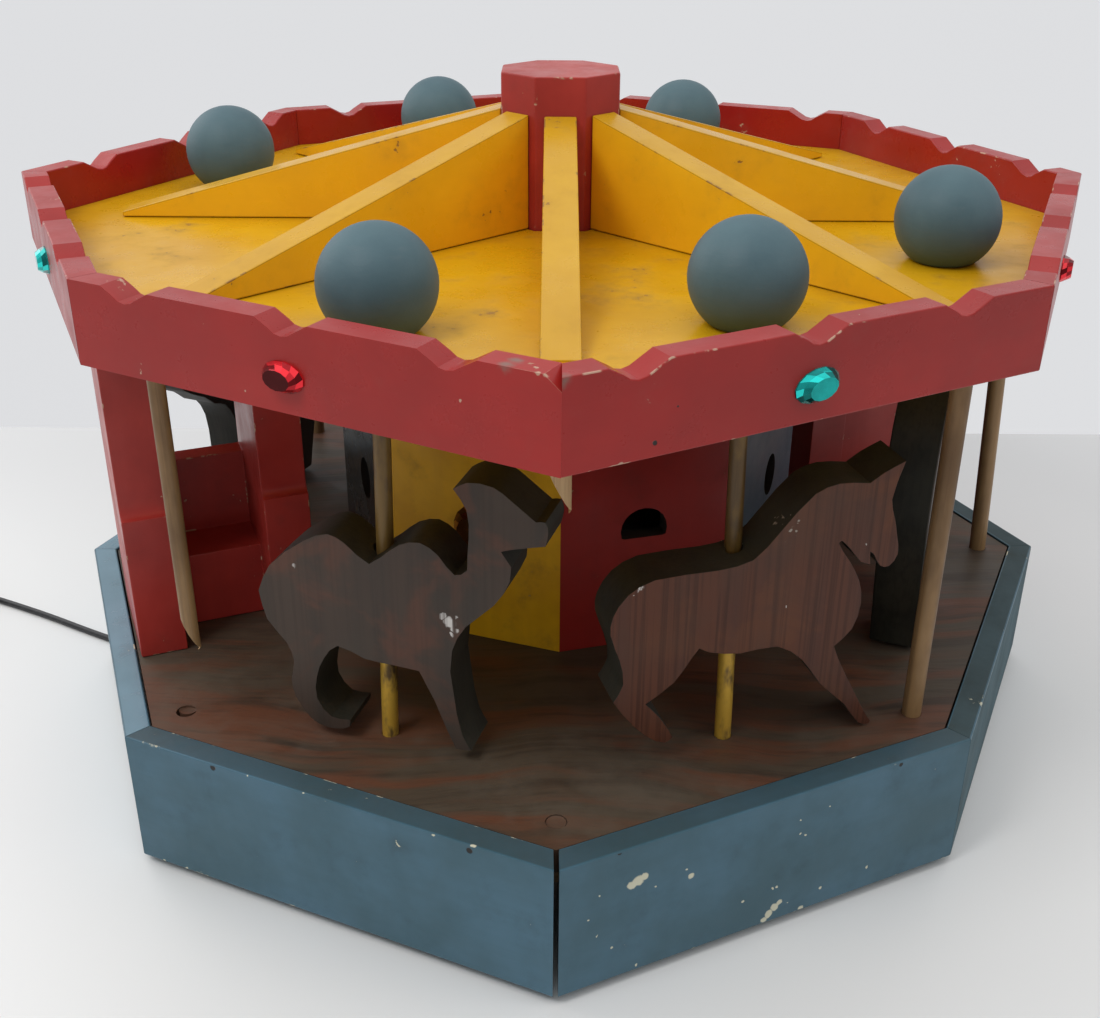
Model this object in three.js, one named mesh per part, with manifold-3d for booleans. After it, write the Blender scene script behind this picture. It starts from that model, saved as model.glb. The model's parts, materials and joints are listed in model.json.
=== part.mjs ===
import * as THREE from 'three';
import { mergeVertices } from 'three/addons/utils/BufferGeometryUtils.js';
import Module from 'manifold-3d';

// Revolving carousel lamp, made of painted wood. Lengths are millimetres and +Z is up.
// The origin is the middle of the stand's underside. The front corner points to -Y, and
// angles count from it, anticlockwise seen from above, which is the way the carousel turns.

const wasm = await Module();
wasm.setup();

// Driving dimensions of the whole lamp
const sides = 8;
const cornerRadius = 290;
const boardThickness = 12.7;
const fitGap = 0.3;
const cutOverrun = 2;
const skirtLift = 5;
const skirtHeight = 72.8;
const frontMitreGap = 2.4;
const deckRecess = 1;
const deckEdgeGap = 0.8;
const roomHeight = 192;
const roofSetback = 5.5;
const dowelDiameter = 9.5;
const poleDiameter = 8;
const plankThickness = 24;

// Heights that follow from them
const deckTop = skirtLift + skirtHeight - deckRecess;
const deckBottom = deckTop - boardThickness;
const roofBottom = deckTop + roomHeight;
const roofTop = roofBottom + boardThickness;

// Directions of the eight corners, and of the eight sides between them
const halfSide = Math.PI / sides;
const cornerAngles = Array.from({ length: sides }, (_, i) => 2 * halfSide * i);
const sideAngles = cornerAngles.map((angle) => angle + halfSide);
const degree = Math.PI / 180;

const paint = {
  blue: { color: 0x41687f, roughness: 0.55, metalness: 0 },
  red: { color: 0x922c30, roughness: 0.5, metalness: 0 },
  yellow: { color: 0xe8ac1e, roughness: 0.5, metalness: 0 },
  stain: { color: 0x4b332b, roughness: 0.6, metalness: 0 },
  wood: { color: 0x9a7442, roughness: 0.6, metalness: 0 },
  board: { color: 0xa98a63, roughness: 0.8, metalness: 0 },
  brass: { color: 0xa98b4d, roughness: 0.35, metalness: 0.9 },
  steel: { color: 0x8f9498, roughness: 0.4, metalness: 0.9 },
  rubber: { color: 0x1c1a19, roughness: 0.8, metalness: 0 },
  glass: { color: 0xf4efe2, roughness: 0.15, metalness: 0 },
};

const lamp = new THREE.Group();

function add(name, geometry, finish, parent = lamp) {
  const mesh = new THREE.Mesh(geometry, new THREE.MeshStandardMaterial(finish));
  mesh.name = name;
  parent.add(mesh);
  return mesh;
}

// A group standing at an angle round the lamp: its -Y points outwards, its +X the way of travel
function stationAt(angle, radius = 0) {
  const station = new THREE.Group();
  station.position.set(radius * Math.sin(angle), -radius * Math.cos(angle), 0);
  station.rotation.z = angle;
  lamp.add(station);
  return station;
}

function toSolid(geometry) {
  const bare = geometry.clone();
  bare.deleteAttribute('normal');
  bare.deleteAttribute('uv');
  const merged = mergeVertices(bare);
  return new wasm.Manifold(new wasm.Mesh({
    numProp: 3,
    vertProperties: merged.attributes.position.array,
    triVerts: merged.index.array,
  }));
}

function toGeometry(solid) {
  const { vertProperties, triVerts } = solid.getMesh();
  const geometry = new THREE.BufferGeometry();
  geometry.setAttribute('position', new THREE.BufferAttribute(vertProperties, 3));
  geometry.setIndex(new THREE.BufferAttribute(triVerts, 1));
  geometry.computeVertexNormals();
  return geometry;
}

function joined(...geometries) {
  return toGeometry(geometries.map(toSolid).reduce((sum, solid) => sum.add(solid)));
}

function cut(geometry, cutters) {
  return toGeometry(cutters.map(toSolid).reduce((rest, cutter) => rest.subtract(cutter), toSolid(geometry)));
}

function placeAt(angle, radius) {
  return new THREE.Vector2(radius * Math.sin(angle), -radius * Math.cos(angle));
}

// Points of an eight-sided outline, anticlockwise from the front corner
function ring(radius, turn = 0) {
  return cornerAngles.map((angle) => placeAt(angle + turn, radius));
}

// The same by hand: each corner has its own share of the radius, and a turn in shares of half a side
function unevenRing(radius, reachShares, turnShares) {
  return cornerAngles.map((angle, i) => placeAt(angle + turnShares[i] * halfSide, radius * reachShares[i]));
}

// An outline with every side moved inwards
function inset(points, distance) {
  return points.map((point, i) => {
    const before = points[(i + points.length - 1) % points.length];
    const after = points[(i + 1) % points.length];
    const arriving = point.clone().sub(before).normalize();
    const leaving = after.clone().sub(point).normalize();
    const inwards = new THREE.Vector2(-arriving.y - leaving.y, arriving.x + leaving.x).normalize();
    const reach = distance / inwards.dot(new THREE.Vector2(-leaving.y, leaving.x));
    return point.clone().addScaledVector(inwards, reach);
  });
}

function prism(points, bottom, top) {
  const shape = new THREE.Shape(points);
  const geometry = new THREE.ExtrudeGeometry(shape, { depth: top - bottom, bevelEnabled: false });
  geometry.translate(0, 0, bottom);
  return geometry;
}

function block(x0, x1, y0, y1, z0, z1) {
  const geometry = new THREE.BoxGeometry(x1 - x0, y1 - y0, z1 - z0);
  geometry.translate((x0 + x1) / 2, (y0 + y1) / 2, (z0 + z1) / 2);
  return geometry;
}

function rod(radius, bottom, top, facets, place = { x: 0, y: 0 }) {
  const geometry = new THREE.CylinderGeometry(radius, radius, top - bottom, facets);
  geometry.rotateX(Math.PI / 2);
  geometry.translate(place.x, place.y, (bottom + top) / 2);
  return geometry;
}

// Leans an upright piece about its foot on the deck, towards +Y, then turns it and puts it in its place
function leant(geometry, lean, turn, place = { x: 0, y: 0 }) {
  geometry.translate(0, 0, -deckTop);
  geometry.rotateX(-lean);
  geometry.rotateZ(turn);
  geometry.translate(place.x, place.y, deckTop);
  return geometry;
}

// A turned piece: its profile is pairs of radius and height
function turned(profile, facets) {
  const geometry = new THREE.LatheGeometry(profile.map(([r, z]) => new THREE.Vector2(r, z)), facets);
  geometry.rotateX(Math.PI / 2);
  return geometry;
}

// A flat shape in width and height, sawn from plank: it stands upright along the station's X
function sawn(shape, thickness) {
  const geometry = new THREE.ExtrudeGeometry(shape, { depth: thickness, bevelEnabled: false });
  geometry.translate(0, 0, -thickness / 2);
  geometry.rotateX(Math.PI / 2);
  return geometry;
}

// The plan of one board of an eight-sided frame, mitred at both ends
function mitredPlan(outer, inner, index, startGap, endGap) {
  const next = (index + 1) % sides;
  const along = outer[next].clone().sub(outer[index]).normalize();
  const shift = (corner, gap) => {
    const mitre = inner[corner].clone().sub(outer[corner]).normalize();
    return gap / 2 / Math.abs(along.cross(mitre));
  };
  const startShift = shift(index, startGap);
  const endShift = -shift(next, endGap);
  return [
    outer[index].clone().addScaledVector(along, startShift),
    outer[next].clone().addScaledVector(along, endShift),
    inner[next].clone().addScaledVector(along, endShift),
    inner[index].clone().addScaledVector(along, startShift),
  ];
}

// Outlines of the frames and of the panels inside them. The boards were cut and fitted by hand, so
// no corner lies quite on the ring, and the roof's front corner reaches furthest.
const skirtCornerShares = [1.013, 0.974, 1.0155, 1, 1, 0.975, 0.976, 1];
const skirtTurnShares = [0, 0.013, 0.009, 0, 0, 0, 0.102, -0.04];
const roofCornerShares = [1.088, 0.9965, 1.0114, 0.9937, 1, 0.967, 1.026, 0.998];
const roofTurnShares = [0, 0, 0.107, 0, 0, -0.107, 0.009, 0];
const roofRadius = cornerRadius - roofSetback;
const skirtOuter = unevenRing(cornerRadius, skirtCornerShares, skirtTurnShares);
const skirtInner = inset(skirtOuter, boardThickness);
const deckOutline = inset(skirtInner, deckEdgeGap);
const roofOuter = unevenRing(roofRadius, roofCornerShares, roofTurnShares);
const roofInner = inset(roofOuter, boardThickness);
const roofOutline = inset(roofInner, fitGap);
const apothem = Math.cos(halfSide);

// Support dowels stand just inside the skirt's corners. The right one leans inwards, and the one
// to the left of the front, which is broken, hangs from the roof beside its hole in the deck.
const dowelRadius = dowelDiameter / 2;
const dowelHoleRadius = dowelRadius + fitGap;
const dowelFacets = 12;
const dowelCornerDistance = 19.5;
const dowelFoot = 10;
const dowelHead = 8;
const leaningDowel = 2;
const dowelLean = 2.7 * degree;
const hangingDowel = 7;
const hangingDowelInset = 5.5;
const dowelPlaces = skirtInner.map((corner) => corner.clone().setLength(corner.length() - dowelCornerDistance));

function dowelAt(index, radius, bottom, top) {
  const place = dowelPlaces[index];
  const turn = Math.atan2(place.x, -place.y);
  return leant(rod(radius, bottom, top, dowelFacets), index === leaningDowel ? dowelLean : 0, turn, place);
}

// A length of a support dowel, or of its hole, where it meets the roof
function dowelHeadAt(index, radius, bottom, top) {
  if (index === hangingDowel) {
    const place = placeAt(cornerAngles[index], dowelPlaces[index].length() - hangingDowelInset);
    return rod(radius, bottom, top, dowelFacets, place);
  }
  return dowelAt(index, radius, bottom, top);
}

// The six animal poles stand on the middle lines of the sides that have no bench, leaning inwards
const poleRadius = poleDiameter / 2;
const poleHoleRadius = poleRadius + fitGap;
const poleEdgeDistance = 44;
const poleRing = cornerRadius * apothem - boardThickness - poleEdgeDistance;
const poleLean = 1.4 * degree;
const benchSides = [2, 6];
const animalSides = [0, 1, 3, 4, 5, 7];
const poleAngles = animalSides.map((side) => sideAngles[side]);

function poleAt(angle, radius, bottom, top) {
  return leant(rod(radius, bottom, top, dowelFacets), poleLean, angle, placeAt(angle, poleRing));
}

// Skirt: eight mitred boards nailed round the deck; the front mitre has opened
skirtOuter.forEach((_, i) => {
  const startGap = i === 0 ? frontMitreGap : fitGap;
  const endGap = i === sides - 1 ? frontMitreGap : fitGap;
  const plan = mitredPlan(skirtOuter, skirtInner, i, startGap, endGap);
  add(`skirt_board_${i + 1}`, prism(plan, skirtLift, skirtLift + skirtHeight), paint.blue);
});

// Ball race: a plywood block on the stand, a caged ring of balls, and a track under the deck
const standEdgeDistance = 40.225;
const standRadius = cornerRadius * apothem - boardThickness - standEdgeDistance;
const standFacets = 40;
const raceEdgeDistance = 105;
const raceRing = standRadius - raceEdgeDistance;
const raceWidth = 30;
const ballRadius = 6;
const ballCount = 12;
const grooveDepth = 2;
const grooveHalfWidth = 5;
const trackThickness = 6.4;
const cageThickness = 3;
const cageHalfWidth = 9;
const trackBottom = deckBottom - trackThickness;
const ballCentre = trackBottom + grooveDepth - fitGap - ballRadius;
const blockTop = ballCentre - ballRadius - fitGap + grooveDepth;
const blockBottom = boardThickness + fitGap;
const blockRadius = raceRing + raceWidth / 2;

add('race_block', turned([
  [0, blockBottom],
  [blockRadius, blockBottom],
  [blockRadius, blockTop],
  [raceRing + grooveHalfWidth, blockTop],
  [raceRing + grooveHalfWidth / 2, blockTop - grooveDepth],
  [raceRing - grooveHalfWidth / 2, blockTop - grooveDepth],
  [raceRing - grooveHalfWidth, blockTop],
  [0, blockTop],
], standFacets), paint.board);

function ballRing() {
  const cage = turned([
    [raceRing - cageHalfWidth, ballCentre - cageThickness / 2],
    [raceRing + cageHalfWidth, ballCentre - cageThickness / 2],
    [raceRing + cageHalfWidth, ballCentre + cageThickness / 2],
    [raceRing - cageHalfWidth, ballCentre + cageThickness / 2],
    [raceRing - cageHalfWidth, ballCentre - cageThickness / 2],
  ], standFacets);
  const balls = Array.from({ length: ballCount }, (_, i) => {
    const angle = (2 * Math.PI * i) / ballCount;
    const ball = new THREE.SphereGeometry(ballRadius, 8, 6);
    ball.rotateX(Math.PI / 2);
    ball.translate(raceRing * Math.cos(angle), raceRing * Math.sin(angle), ballCentre);
    return ball;
  });
  return joined(cage, ...balls);
}
add('ball_ring', ballRing(), paint.steel);

// Deck: plywood with a ball track glued below it, and holes for dowels, poles and lamp
const lampHoleRadius = 28;
function deck() {
  const track = turned([
    [lampHoleRadius, trackBottom],
    [raceRing - grooveHalfWidth, trackBottom],
    [raceRing - grooveHalfWidth / 2, trackBottom + grooveDepth],
    [raceRing + grooveHalfWidth / 2, trackBottom + grooveDepth],
    [raceRing + grooveHalfWidth, trackBottom],
    [blockRadius, trackBottom],
    [blockRadius, deckBottom + cutOverrun],
    [lampHoleRadius, deckBottom + cutOverrun],
    [lampHoleRadius, trackBottom],
  ], standFacets);
  const plate = joined(prism(deckOutline, deckBottom, deckTop), track);
  const holeTop = deckTop + cutOverrun;
  const holeBottom = trackBottom - cutOverrun;
  return cut(plate, [
    rod(lampHoleRadius, holeBottom, holeTop, standFacets),
    ...dowelPlaces.map((_, i) => dowelAt(i, dowelHoleRadius, holeBottom, holeTop)),
    ...poleAngles.map((angle) => poleAt(angle, poleHoleRadius, holeBottom, holeTop)),
  ]);
}
add('deck', deck(), paint.stain);

// Drum: eight panels glued edge to edge round the lamp, each with an oval window. It is fitted by
// hand as well, and reaches furthest on the right.
const drumRadius = 126;
const drumCornerShares = [0.973, 1.071, 1.107, 1.06, 1, 1, 1.01, 1.01];
const drumTurnShares = [0.033, 0, 0, 0, 0, 0, 0, 0];
const drumWall = 9.5;
const windowWidth = 20;
const windowTall = 25;
const windowHeight = 66;
function drum() {
  const outer = unevenRing(drumRadius, drumCornerShares, drumTurnShares);
  const inner = inset(outer, drumWall);
  const shell = prism(outer, deckTop + fitGap, roofBottom - fitGap);
  const bore = prism(inner, deckTop - cutOverrun, roofBottom + cutOverrun);
  const windows = outer.map((corner, i) => {
    const next = outer[(i + 1) % sides];
    const along = next.clone().sub(corner);
    const middle = corner.clone().add(next).divideScalar(2);
    const oval = new THREE.CylinderGeometry(1, 1, 2 * (drumWall + cutOverrun), 20);
    oval.scale(windowWidth / 2, 1, windowTall / 2);
    oval.rotateZ(Math.atan2(along.y, along.x));
    oval.translate(middle.x, middle.y, deckTop + windowHeight);
    return oval;
  });
  return cut(shell, [bore, ...windows]);
}
add('drum', drum(), paint.yellow);

// Roof: a panel let in between the fascia boards, with a shallow seat for the hub
const hubRadius = 33.4;
const hubHeight = 78;
const hubSeatDepth = 3;
const hubSeatGap = 1.2;
function roofPanel() {
  const panel = prism(roofOutline, roofBottom, roofTop);
  const seat = prism(ring(hubRadius + hubSeatGap, halfSide), roofTop - hubSeatDepth, roofTop + cutOverrun);
  return cut(panel, [
    seat,
    ...dowelPlaces.map((_, i) => dowelHeadAt(
      i,
      dowelHoleRadius,
      roofBottom - cutOverrun,
      roofBottom + dowelHead + fitGap,
    )),
    ...poleAngles.map((angle) => poleAt(angle, poleHoleRadius, roofBottom - cutOverrun, roofTop + cutOverrun)),
  ]);
}
add('roof_panel', roofPanel(), paint.yellow);

const hubOutline = ring(hubRadius, halfSide);
add('hub', prism(hubOutline, roofTop - hubSeatDepth + fitGap, roofTop + hubHeight), paint.red);

// Ribs: eight tapered boards on edge, from the faces of the hub towards the roof's corners
const ribWidth = 16.5;
const ribHeight = 59;
const ribTipHeight = 3;
const ribTipDistance = 33;
const ribTip = roofRadius - boardThickness / apothem - ribTipDistance;
const ribRoot = hubRadius * apothem + fitGap;
cornerAngles.forEach((angle, i) => {
  const profile = new THREE.Shape([
    new THREE.Vector2(ribRoot, roofTop + fitGap),
    new THREE.Vector2(ribTip, roofTop + fitGap),
    new THREE.Vector2(ribTip, roofTop + ribTipHeight),
    new THREE.Vector2(ribRoot, roofTop + ribHeight),
  ]);
  const rib = sawn(profile, ribWidth);
  rib.rotateZ(-Math.PI / 2);
  add(`roof_rib_${i + 1}`, rib, paint.yellow, stationAt(angle));
});

// Fascia: eight mitred boards, each with three scooped notches on top and an oval gem. Each notch
// was cut straight down at a slant from both ends and rounded at the bottom, a little off its middle.
const fasciaHeight = 37;
const fasciaRise = 23;
const fasciaTop = roofTop + fasciaRise;
const fasciaBottom = fasciaTop - fasciaHeight;
const notchPlaceShares = [0.135, 0.48, 0.8];
const notchWidth = 25;
const notchDepth = 6;
const notchSlantShare = 0.24;
const notchSlantDepthShare = 0.56;
const notchSkewShare = 0.04;
const cornerChipLength = 7;
const cornerChipDepth = 5.5;
const gemWidth = 20;
const gemTall = 14.5;
const gemRise = 5;
const gemHeight = 15;
const gemTableShare = 0.55;
const gemPlaceShare = 0.478;

// A board's front view. The last board's end at the front corner has a chip off its top.
function fasciaElevation(length, chipped) {
  const shape = new THREE.Shape();
  shape.moveTo(-cutOverrun, fasciaBottom);
  shape.lineTo(length + cutOverrun, fasciaBottom);
  if (chipped) {
    shape.lineTo(length + cutOverrun, fasciaTop - cornerChipDepth);
    shape.lineTo(length, fasciaTop - cornerChipDepth);
    shape.lineTo(length - cornerChipLength, fasciaTop);
  } else {
    shape.lineTo(length + cutOverrun, fasciaTop);
  }
  const slant = notchSlantShare * notchWidth;
  const slantDepth = notchSlantDepthShare * notchDepth;
  [...notchPlaceShares].reverse().forEach((share) => {
    const middle = share * length;
    const from = middle - notchWidth / 2;
    const to = middle + notchWidth / 2;
    shape.lineTo(to, fasciaTop);
    shape.lineTo(to - slant, fasciaTop - slantDepth);
    shape.quadraticCurveTo(
      middle - notchSkewShare * notchWidth,
      fasciaTop - 2 * notchDepth + slantDepth,
      from + slant,
      fasciaTop - slantDepth,
    );
    shape.lineTo(from, fasciaTop);
  });
  shape.lineTo(-cutOverrun, fasciaTop);
  return shape;
}

function fasciaBoard(index) {
  const start = roofOuter[index];
  const end = roofOuter[(index + 1) % sides];
  const length = start.distanceTo(end);
  const along = end.clone().sub(start).normalize();
  const frame = new THREE.Matrix4().makeBasis(
    new THREE.Vector3(along.x, along.y, 0),
    new THREE.Vector3(0, 0, 1),
    new THREE.Vector3(along.y, -along.x, 0),
  );
  frame.setPosition(start.x, start.y, 0);
  const depth = boardThickness + 2 * cutOverrun;
  const elevation = fasciaElevation(length, index === sides - 1);
  const slab = new THREE.ExtrudeGeometry(elevation, { depth, bevelEnabled: false, curveSegments: 4 });
  slab.translate(0, 0, -boardThickness - cutOverrun);
  slab.applyMatrix4(frame);
  const plan = mitredPlan(roofOuter, roofInner, index, fitGap, fitGap);
  const mitred = toSolid(slab).intersect(toSolid(prism(plan, fasciaBottom - cutOverrun, fasciaTop + cutOverrun)));
  const gem = new THREE.CylinderGeometry(gemTableShare, 1, 1, 12);
  gem.scale(gemWidth / 2, gemRise + cutOverrun, gemTall / 2);
  gem.rotateX(Math.PI / 2);
  gem.translate(gemPlaceShare * length, fasciaBottom + gemHeight, (gemRise - cutOverrun) / 2);
  gem.applyMatrix4(frame);
  return toGeometry(mitred.add(toSolid(gem)));
}
roofOuter.forEach((_, i) => add(`fascia_board_${i + 1}`, fasciaBoard(i), paint.red));

// Support dowels: the front one is broken off under the roof, the one to its left near the deck
const brokenFootHeight = 37;
const stubLength = 38;
const splinterSlope = 62 * degree;
function supportDowel(index) {
  const top = roofBottom + dowelHead;
  const brokenAt = { 0: roofBottom - stubLength, [hangingDowel]: deckTop + brokenFootHeight }[index];
  if (brokenAt === undefined) {
    return dowelAt(index, dowelRadius, deckTop - dowelFoot, top);
  }
  const whole = dowelHeadAt(index, dowelRadius, brokenAt, top);
  whole.computeBoundingBox();
  const middle = whole.boundingBox.getCenter(new THREE.Vector3());
  const splinter = dowelRadius * Math.tan(splinterSlope);
  const wedge = block(-dowelDiameter, dowelDiameter, -dowelDiameter, dowelDiameter, -2 * splinter, 0);
  wedge.rotateY(splinterSlope);
  wedge.translate(middle.x, middle.y, brokenAt + splinter);
  return cut(whole, [wedge]);
}
dowelPlaces.forEach((_, i) => add(`support_dowel_${i + 1}`, supportDowel(i), paint.wood));

// Animal poles, each with its ball resting on the roof with a small flat
const finialRadius = 25.4;
const finialFlatDepth = 5;
const finialFacets = 20;
function finialPole(angle) {
  const centre = roofTop + fitGap + finialRadius - finialFlatDepth;
  const place = placeAt(angle, poleRing - (centre - deckTop) * Math.tan(poleLean));
  const ball = new THREE.SphereGeometry(finialRadius, finialFacets, 12);
  ball.rotateX(Math.PI / 2);
  ball.translate(0, 0, centre);
  const below = block(-finialRadius, finialRadius, -finialRadius, finialRadius, roofBottom, roofTop + fitGap);
  const flattened = cut(ball, [below]);
  flattened.translate(place.x, place.y, 0);
  return joined(flattened, poleAt(angle, poleRadius, deckTop - dowelFoot, centre));
}
poleAngles.forEach((angle, i) => add(`finial_pole_${i + 1}`, finialPole(angle), paint.blue));

// Animals: outlines in shares of the animal size, from the pole and the deck, heading to +X.
// Each run is a smooth stretch between two corners of the outline.
const animalSize = 150;
const camelRunShares = [
  [[-0.38, 0.51], [-0.335, 0.605], [-0.21, 0.71], [-0.13, 0.745], [-0.08, 0.725], [-0.04, 0.69], [0, 0.665]],
  [[0, 0.665], [0.04, 0.695], [0.1, 0.745], [0.165, 0.762], [0.22, 0.73], [0.27, 0.672], [0.31, 0.695],
    [0.33, 0.8], [0.325, 0.9], [0.28, 0.965]],
  [[0.28, 0.965], [0.33, 0.992], [0.42, 0.988], [0.48, 0.952], [0.565, 0.892]],
  [[0.565, 0.892], [0.597, 0.895], [0.607, 0.86], [0.597, 0.815]],
  [[0.597, 0.815], [0.49, 0.79], [0.443, 0.775]],
  [[0.443, 0.775], [0.44, 0.68], [0.39, 0.59], [0.3, 0.5], [0.255, 0.41], [0.247, 0.25], [0.252, 0.09],
    [0.272, 0.032]],
  [[0.272, 0.032], [0.222, 0.028]],
  [[0.222, 0.028], [0.203, 0.1], [0.18, 0.21], [0.145, 0.315]],
  [[0.145, 0.315], [0.06, 0.32], [-0.035, 0.325], [-0.125, 0.355], [-0.175, 0.3], [-0.205, 0.22],
    [-0.21, 0.13], [-0.165, 0.065], [-0.1, 0.065]],
  [[-0.1, 0.065], [-0.105, 0.035], [-0.15, 0.018], [-0.19, 0.018], [-0.235, 0.04], [-0.285, 0.12],
    [-0.295, 0.19], [-0.28, 0.27], [-0.3, 0.335], [-0.36, 0.41], [-0.38, 0.51]],
];
const horseRunShares = [
  [[0.485, 0.955], [0.455, 0.83], [0.475, 0.76], [0.49, 0.7], [0.5, 0.64], [0.475, 0.6], [0.445, 0.605],
    [0.42, 0.645]],
  [[0.42, 0.645], [0.405, 0.66], [0.41, 0.615]],
  [[0.41, 0.615], [0.375, 0.63], [0.335, 0.68], [0.305, 0.71]],
  [[0.305, 0.71], [0.295, 0.705], [0.34, 0.635], [0.38, 0.56], [0.395, 0.48], [0.375, 0.39], [0.32, 0.335]],
  [[0.32, 0.335], [0.34, 0.285], [0.41, 0.15], [0.465, 0.05], [0.485, 0.02]],
  [[0.485, 0.02], [0.475, 0.01], [0.44, 0.022], [0.38, 0.105], [0.285, 0.2], [0.215, 0.3], [0.125, 0.365],
    [0, 0.36], [-0.1, 0.38], [-0.135, 0.4]],
  [[-0.135, 0.4], [-0.16, 0.365], [-0.21, 0.29], [-0.3, 0.225]],
  [[-0.3, 0.225], [-0.25, 0.165], [-0.205, 0.085]],
  [[-0.205, 0.085], [-0.23, 0.067], [-0.295, 0.105], [-0.36, 0.18], [-0.405, 0.25]],
  [[-0.405, 0.25], [-0.375, 0.31], [-0.39, 0.4], [-0.42, 0.49], [-0.415, 0.55], [-0.37, 0.62],
    [-0.29, 0.66], [-0.09, 0.665], [0.02, 0.685], [0.1, 0.77], [0.2, 0.88], [0.275, 0.905], [0.375, 0.895]],
  [[0.375, 0.895], [0.42, 0.925], [0.485, 0.955]],
];
const elephantRunShares = [
  [[-0.25, 0.015], [-0.3, 0.2], [-0.36, 0.42], [-0.41, 0.62], [-0.405, 0.82], [-0.33, 0.97], [-0.15, 1.04],
    [0.02, 1.02], [0.14, 0.99], [0.25, 1.05], [0.35, 1.01], [0.39, 0.9], [0.44, 0.82], [0.51, 0.8],
    [0.56, 0.86], [0.57, 0.96]],
  [[0.57, 0.96], [0.635, 0.95]],
  [[0.635, 0.95], [0.65, 0.83], [0.58, 0.68], [0.46, 0.61], [0.4, 0.56]],
  [[0.4, 0.56], [0.33, 0.53], [0.275, 0.44], [0.26, 0.28], [0.265, 0.015]],
  [[0.265, 0.015], [0.115, 0.015]],
  [[0.115, 0.015], [0.125, 0.2], [0.07, 0.32], [-0.03, 0.31], [-0.1, 0.28], [-0.1, 0.15], [-0.085, 0.015]],
  [[-0.085, 0.015], [-0.25, 0.015]],
];

function outline(runShares, size) {
  const points = runShares.flatMap((run) => {
    const knots = run.map(([x, z]) => new THREE.Vector3(x * size, z * size, 0));
    if (knots.length === 2) {
      return [knots[0]];
    }
    const curve = new THREE.CatmullRomCurve3(knots, false, 'centripetal');
    return curve.getPoints(2 * (knots.length - 1)).slice(0, -1);
  });
  return new THREE.Shape(points.map((point) => new THREE.Vector2(point.x, point.y)));
}

function animal(runShares, yaw) {
  const body = sawn(outline(runShares, animalSize), plankThickness);
  body.translate(0, 0, deckTop);
  return cut(body, [leant(rod(poleHoleRadius, deckBottom, roofTop, dowelFacets), poleLean, -yaw)]);
}

const herd = [
  { name: 'horse_1', runShares: horseRunShares, yaw: -7 * degree },
  { name: 'elephant_1', runShares: elephantRunShares, yaw: 0 },
  { name: 'camel_2', runShares: camelRunShares, yaw: 3 * degree },
  { name: 'horse_2', runShares: horseRunShares, yaw: 0 },
  { name: 'elephant_2', runShares: elephantRunShares, yaw: 0 },
  { name: 'camel_1', runShares: camelRunShares, yaw: 6 * degree },
];
herd.forEach(({ name, runShares, yaw }, i) => {
  const station = stationAt(sideAngles[animalSides[i]], poleRing);
  station.rotation.z += yaw;
  add(name, animal(runShares, yaw), paint.stain, station);
});

// Benches: two tall plank sides with a low arm, and a back, a seat and a riser between them
const benchEdgeDistance = 2;
const benchDrumDistance = 41.2;
const benchFront = 37;
const benchRear = 32;
const armHeight = 80;
const armStep = 5;
const armCove = 9;
const benchBackHeight = 86;
const benchBackFront = 18;
const benchSeatHeight = 42;
const benchSeatFront = 12;

function benchSide() {
  const top = fasciaBottom - deckTop - 2 * fitGap;
  const shape = new THREE.Shape();
  shape.moveTo(-benchRear, 0);
  shape.lineTo(benchFront, 0);
  shape.lineTo(benchFront, armHeight);
  shape.quadraticCurveTo(benchFront - armStep, armHeight, benchFront - armStep, armHeight + armCove);
  shape.lineTo(benchFront - armStep, top);
  shape.lineTo(-benchRear, top);
  return sawn(shape, plankThickness);
}

function bench() {
  const outerFace = cornerRadius * apothem - boardThickness - benchEdgeDistance;
  const near = outerFace - plankThickness;
  const far = drumRadius * apothem + benchDrumDistance + plankThickness;
  const outerSide = benchSide();
  outerSide.translate(0, -near - plankThickness / 2, 0);
  const innerSide = benchSide();
  innerSide.translate(0, -far + plankThickness / 2, 0);
  const between = (x0, x1, z0, z1) => block(x0, x1, -near - cutOverrun, -far + cutOverrun, z0, z1);
  const back = between(-benchBackFront - boardThickness, -benchBackFront, 0, benchBackHeight);
  const seat = between(-benchBackFront - cutOverrun, benchSeatFront, benchSeatHeight - boardThickness, benchSeatHeight);
  const riser = between(benchSeatFront - boardThickness, benchSeatFront, 0, benchSeatHeight - boardThickness + cutOverrun);
  const geometry = joined(outerSide, innerSide, back, seat, riser);
  geometry.translate(0, 0, deckTop + fitGap);
  return geometry;
}
benchSides.forEach((side, i) => {
  add(`bench_${i + 1}`, bench(), paint.red, stationAt(sideAngles[side]));
});

// Stand: a round plywood disc on the table, with a groove in its underside for the cord
const cordDiameter = 4;
const cordRadius = cordDiameter / 2;
const cordHeight = 2.2;
const cordGrooveWidth = 5;
const cordGrooveLength = 14;
const cordExitSide = -14;
function standPlate() {
  const disc = rod(standRadius, 0, boardThickness, standFacets);
  const groove = block(
    -standRadius - cutOverrun,
    -standRadius + cordGrooveLength,
    cordExitSide - cordGrooveWidth / 2,
    cordExitSide + cordGrooveWidth / 2,
    -cutOverrun,
    cordHeight + cordGrooveWidth / 2,
  );
  return cut(disc, [groove]);
}
add('stand_plate', standPlate(), paint.board);

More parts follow.
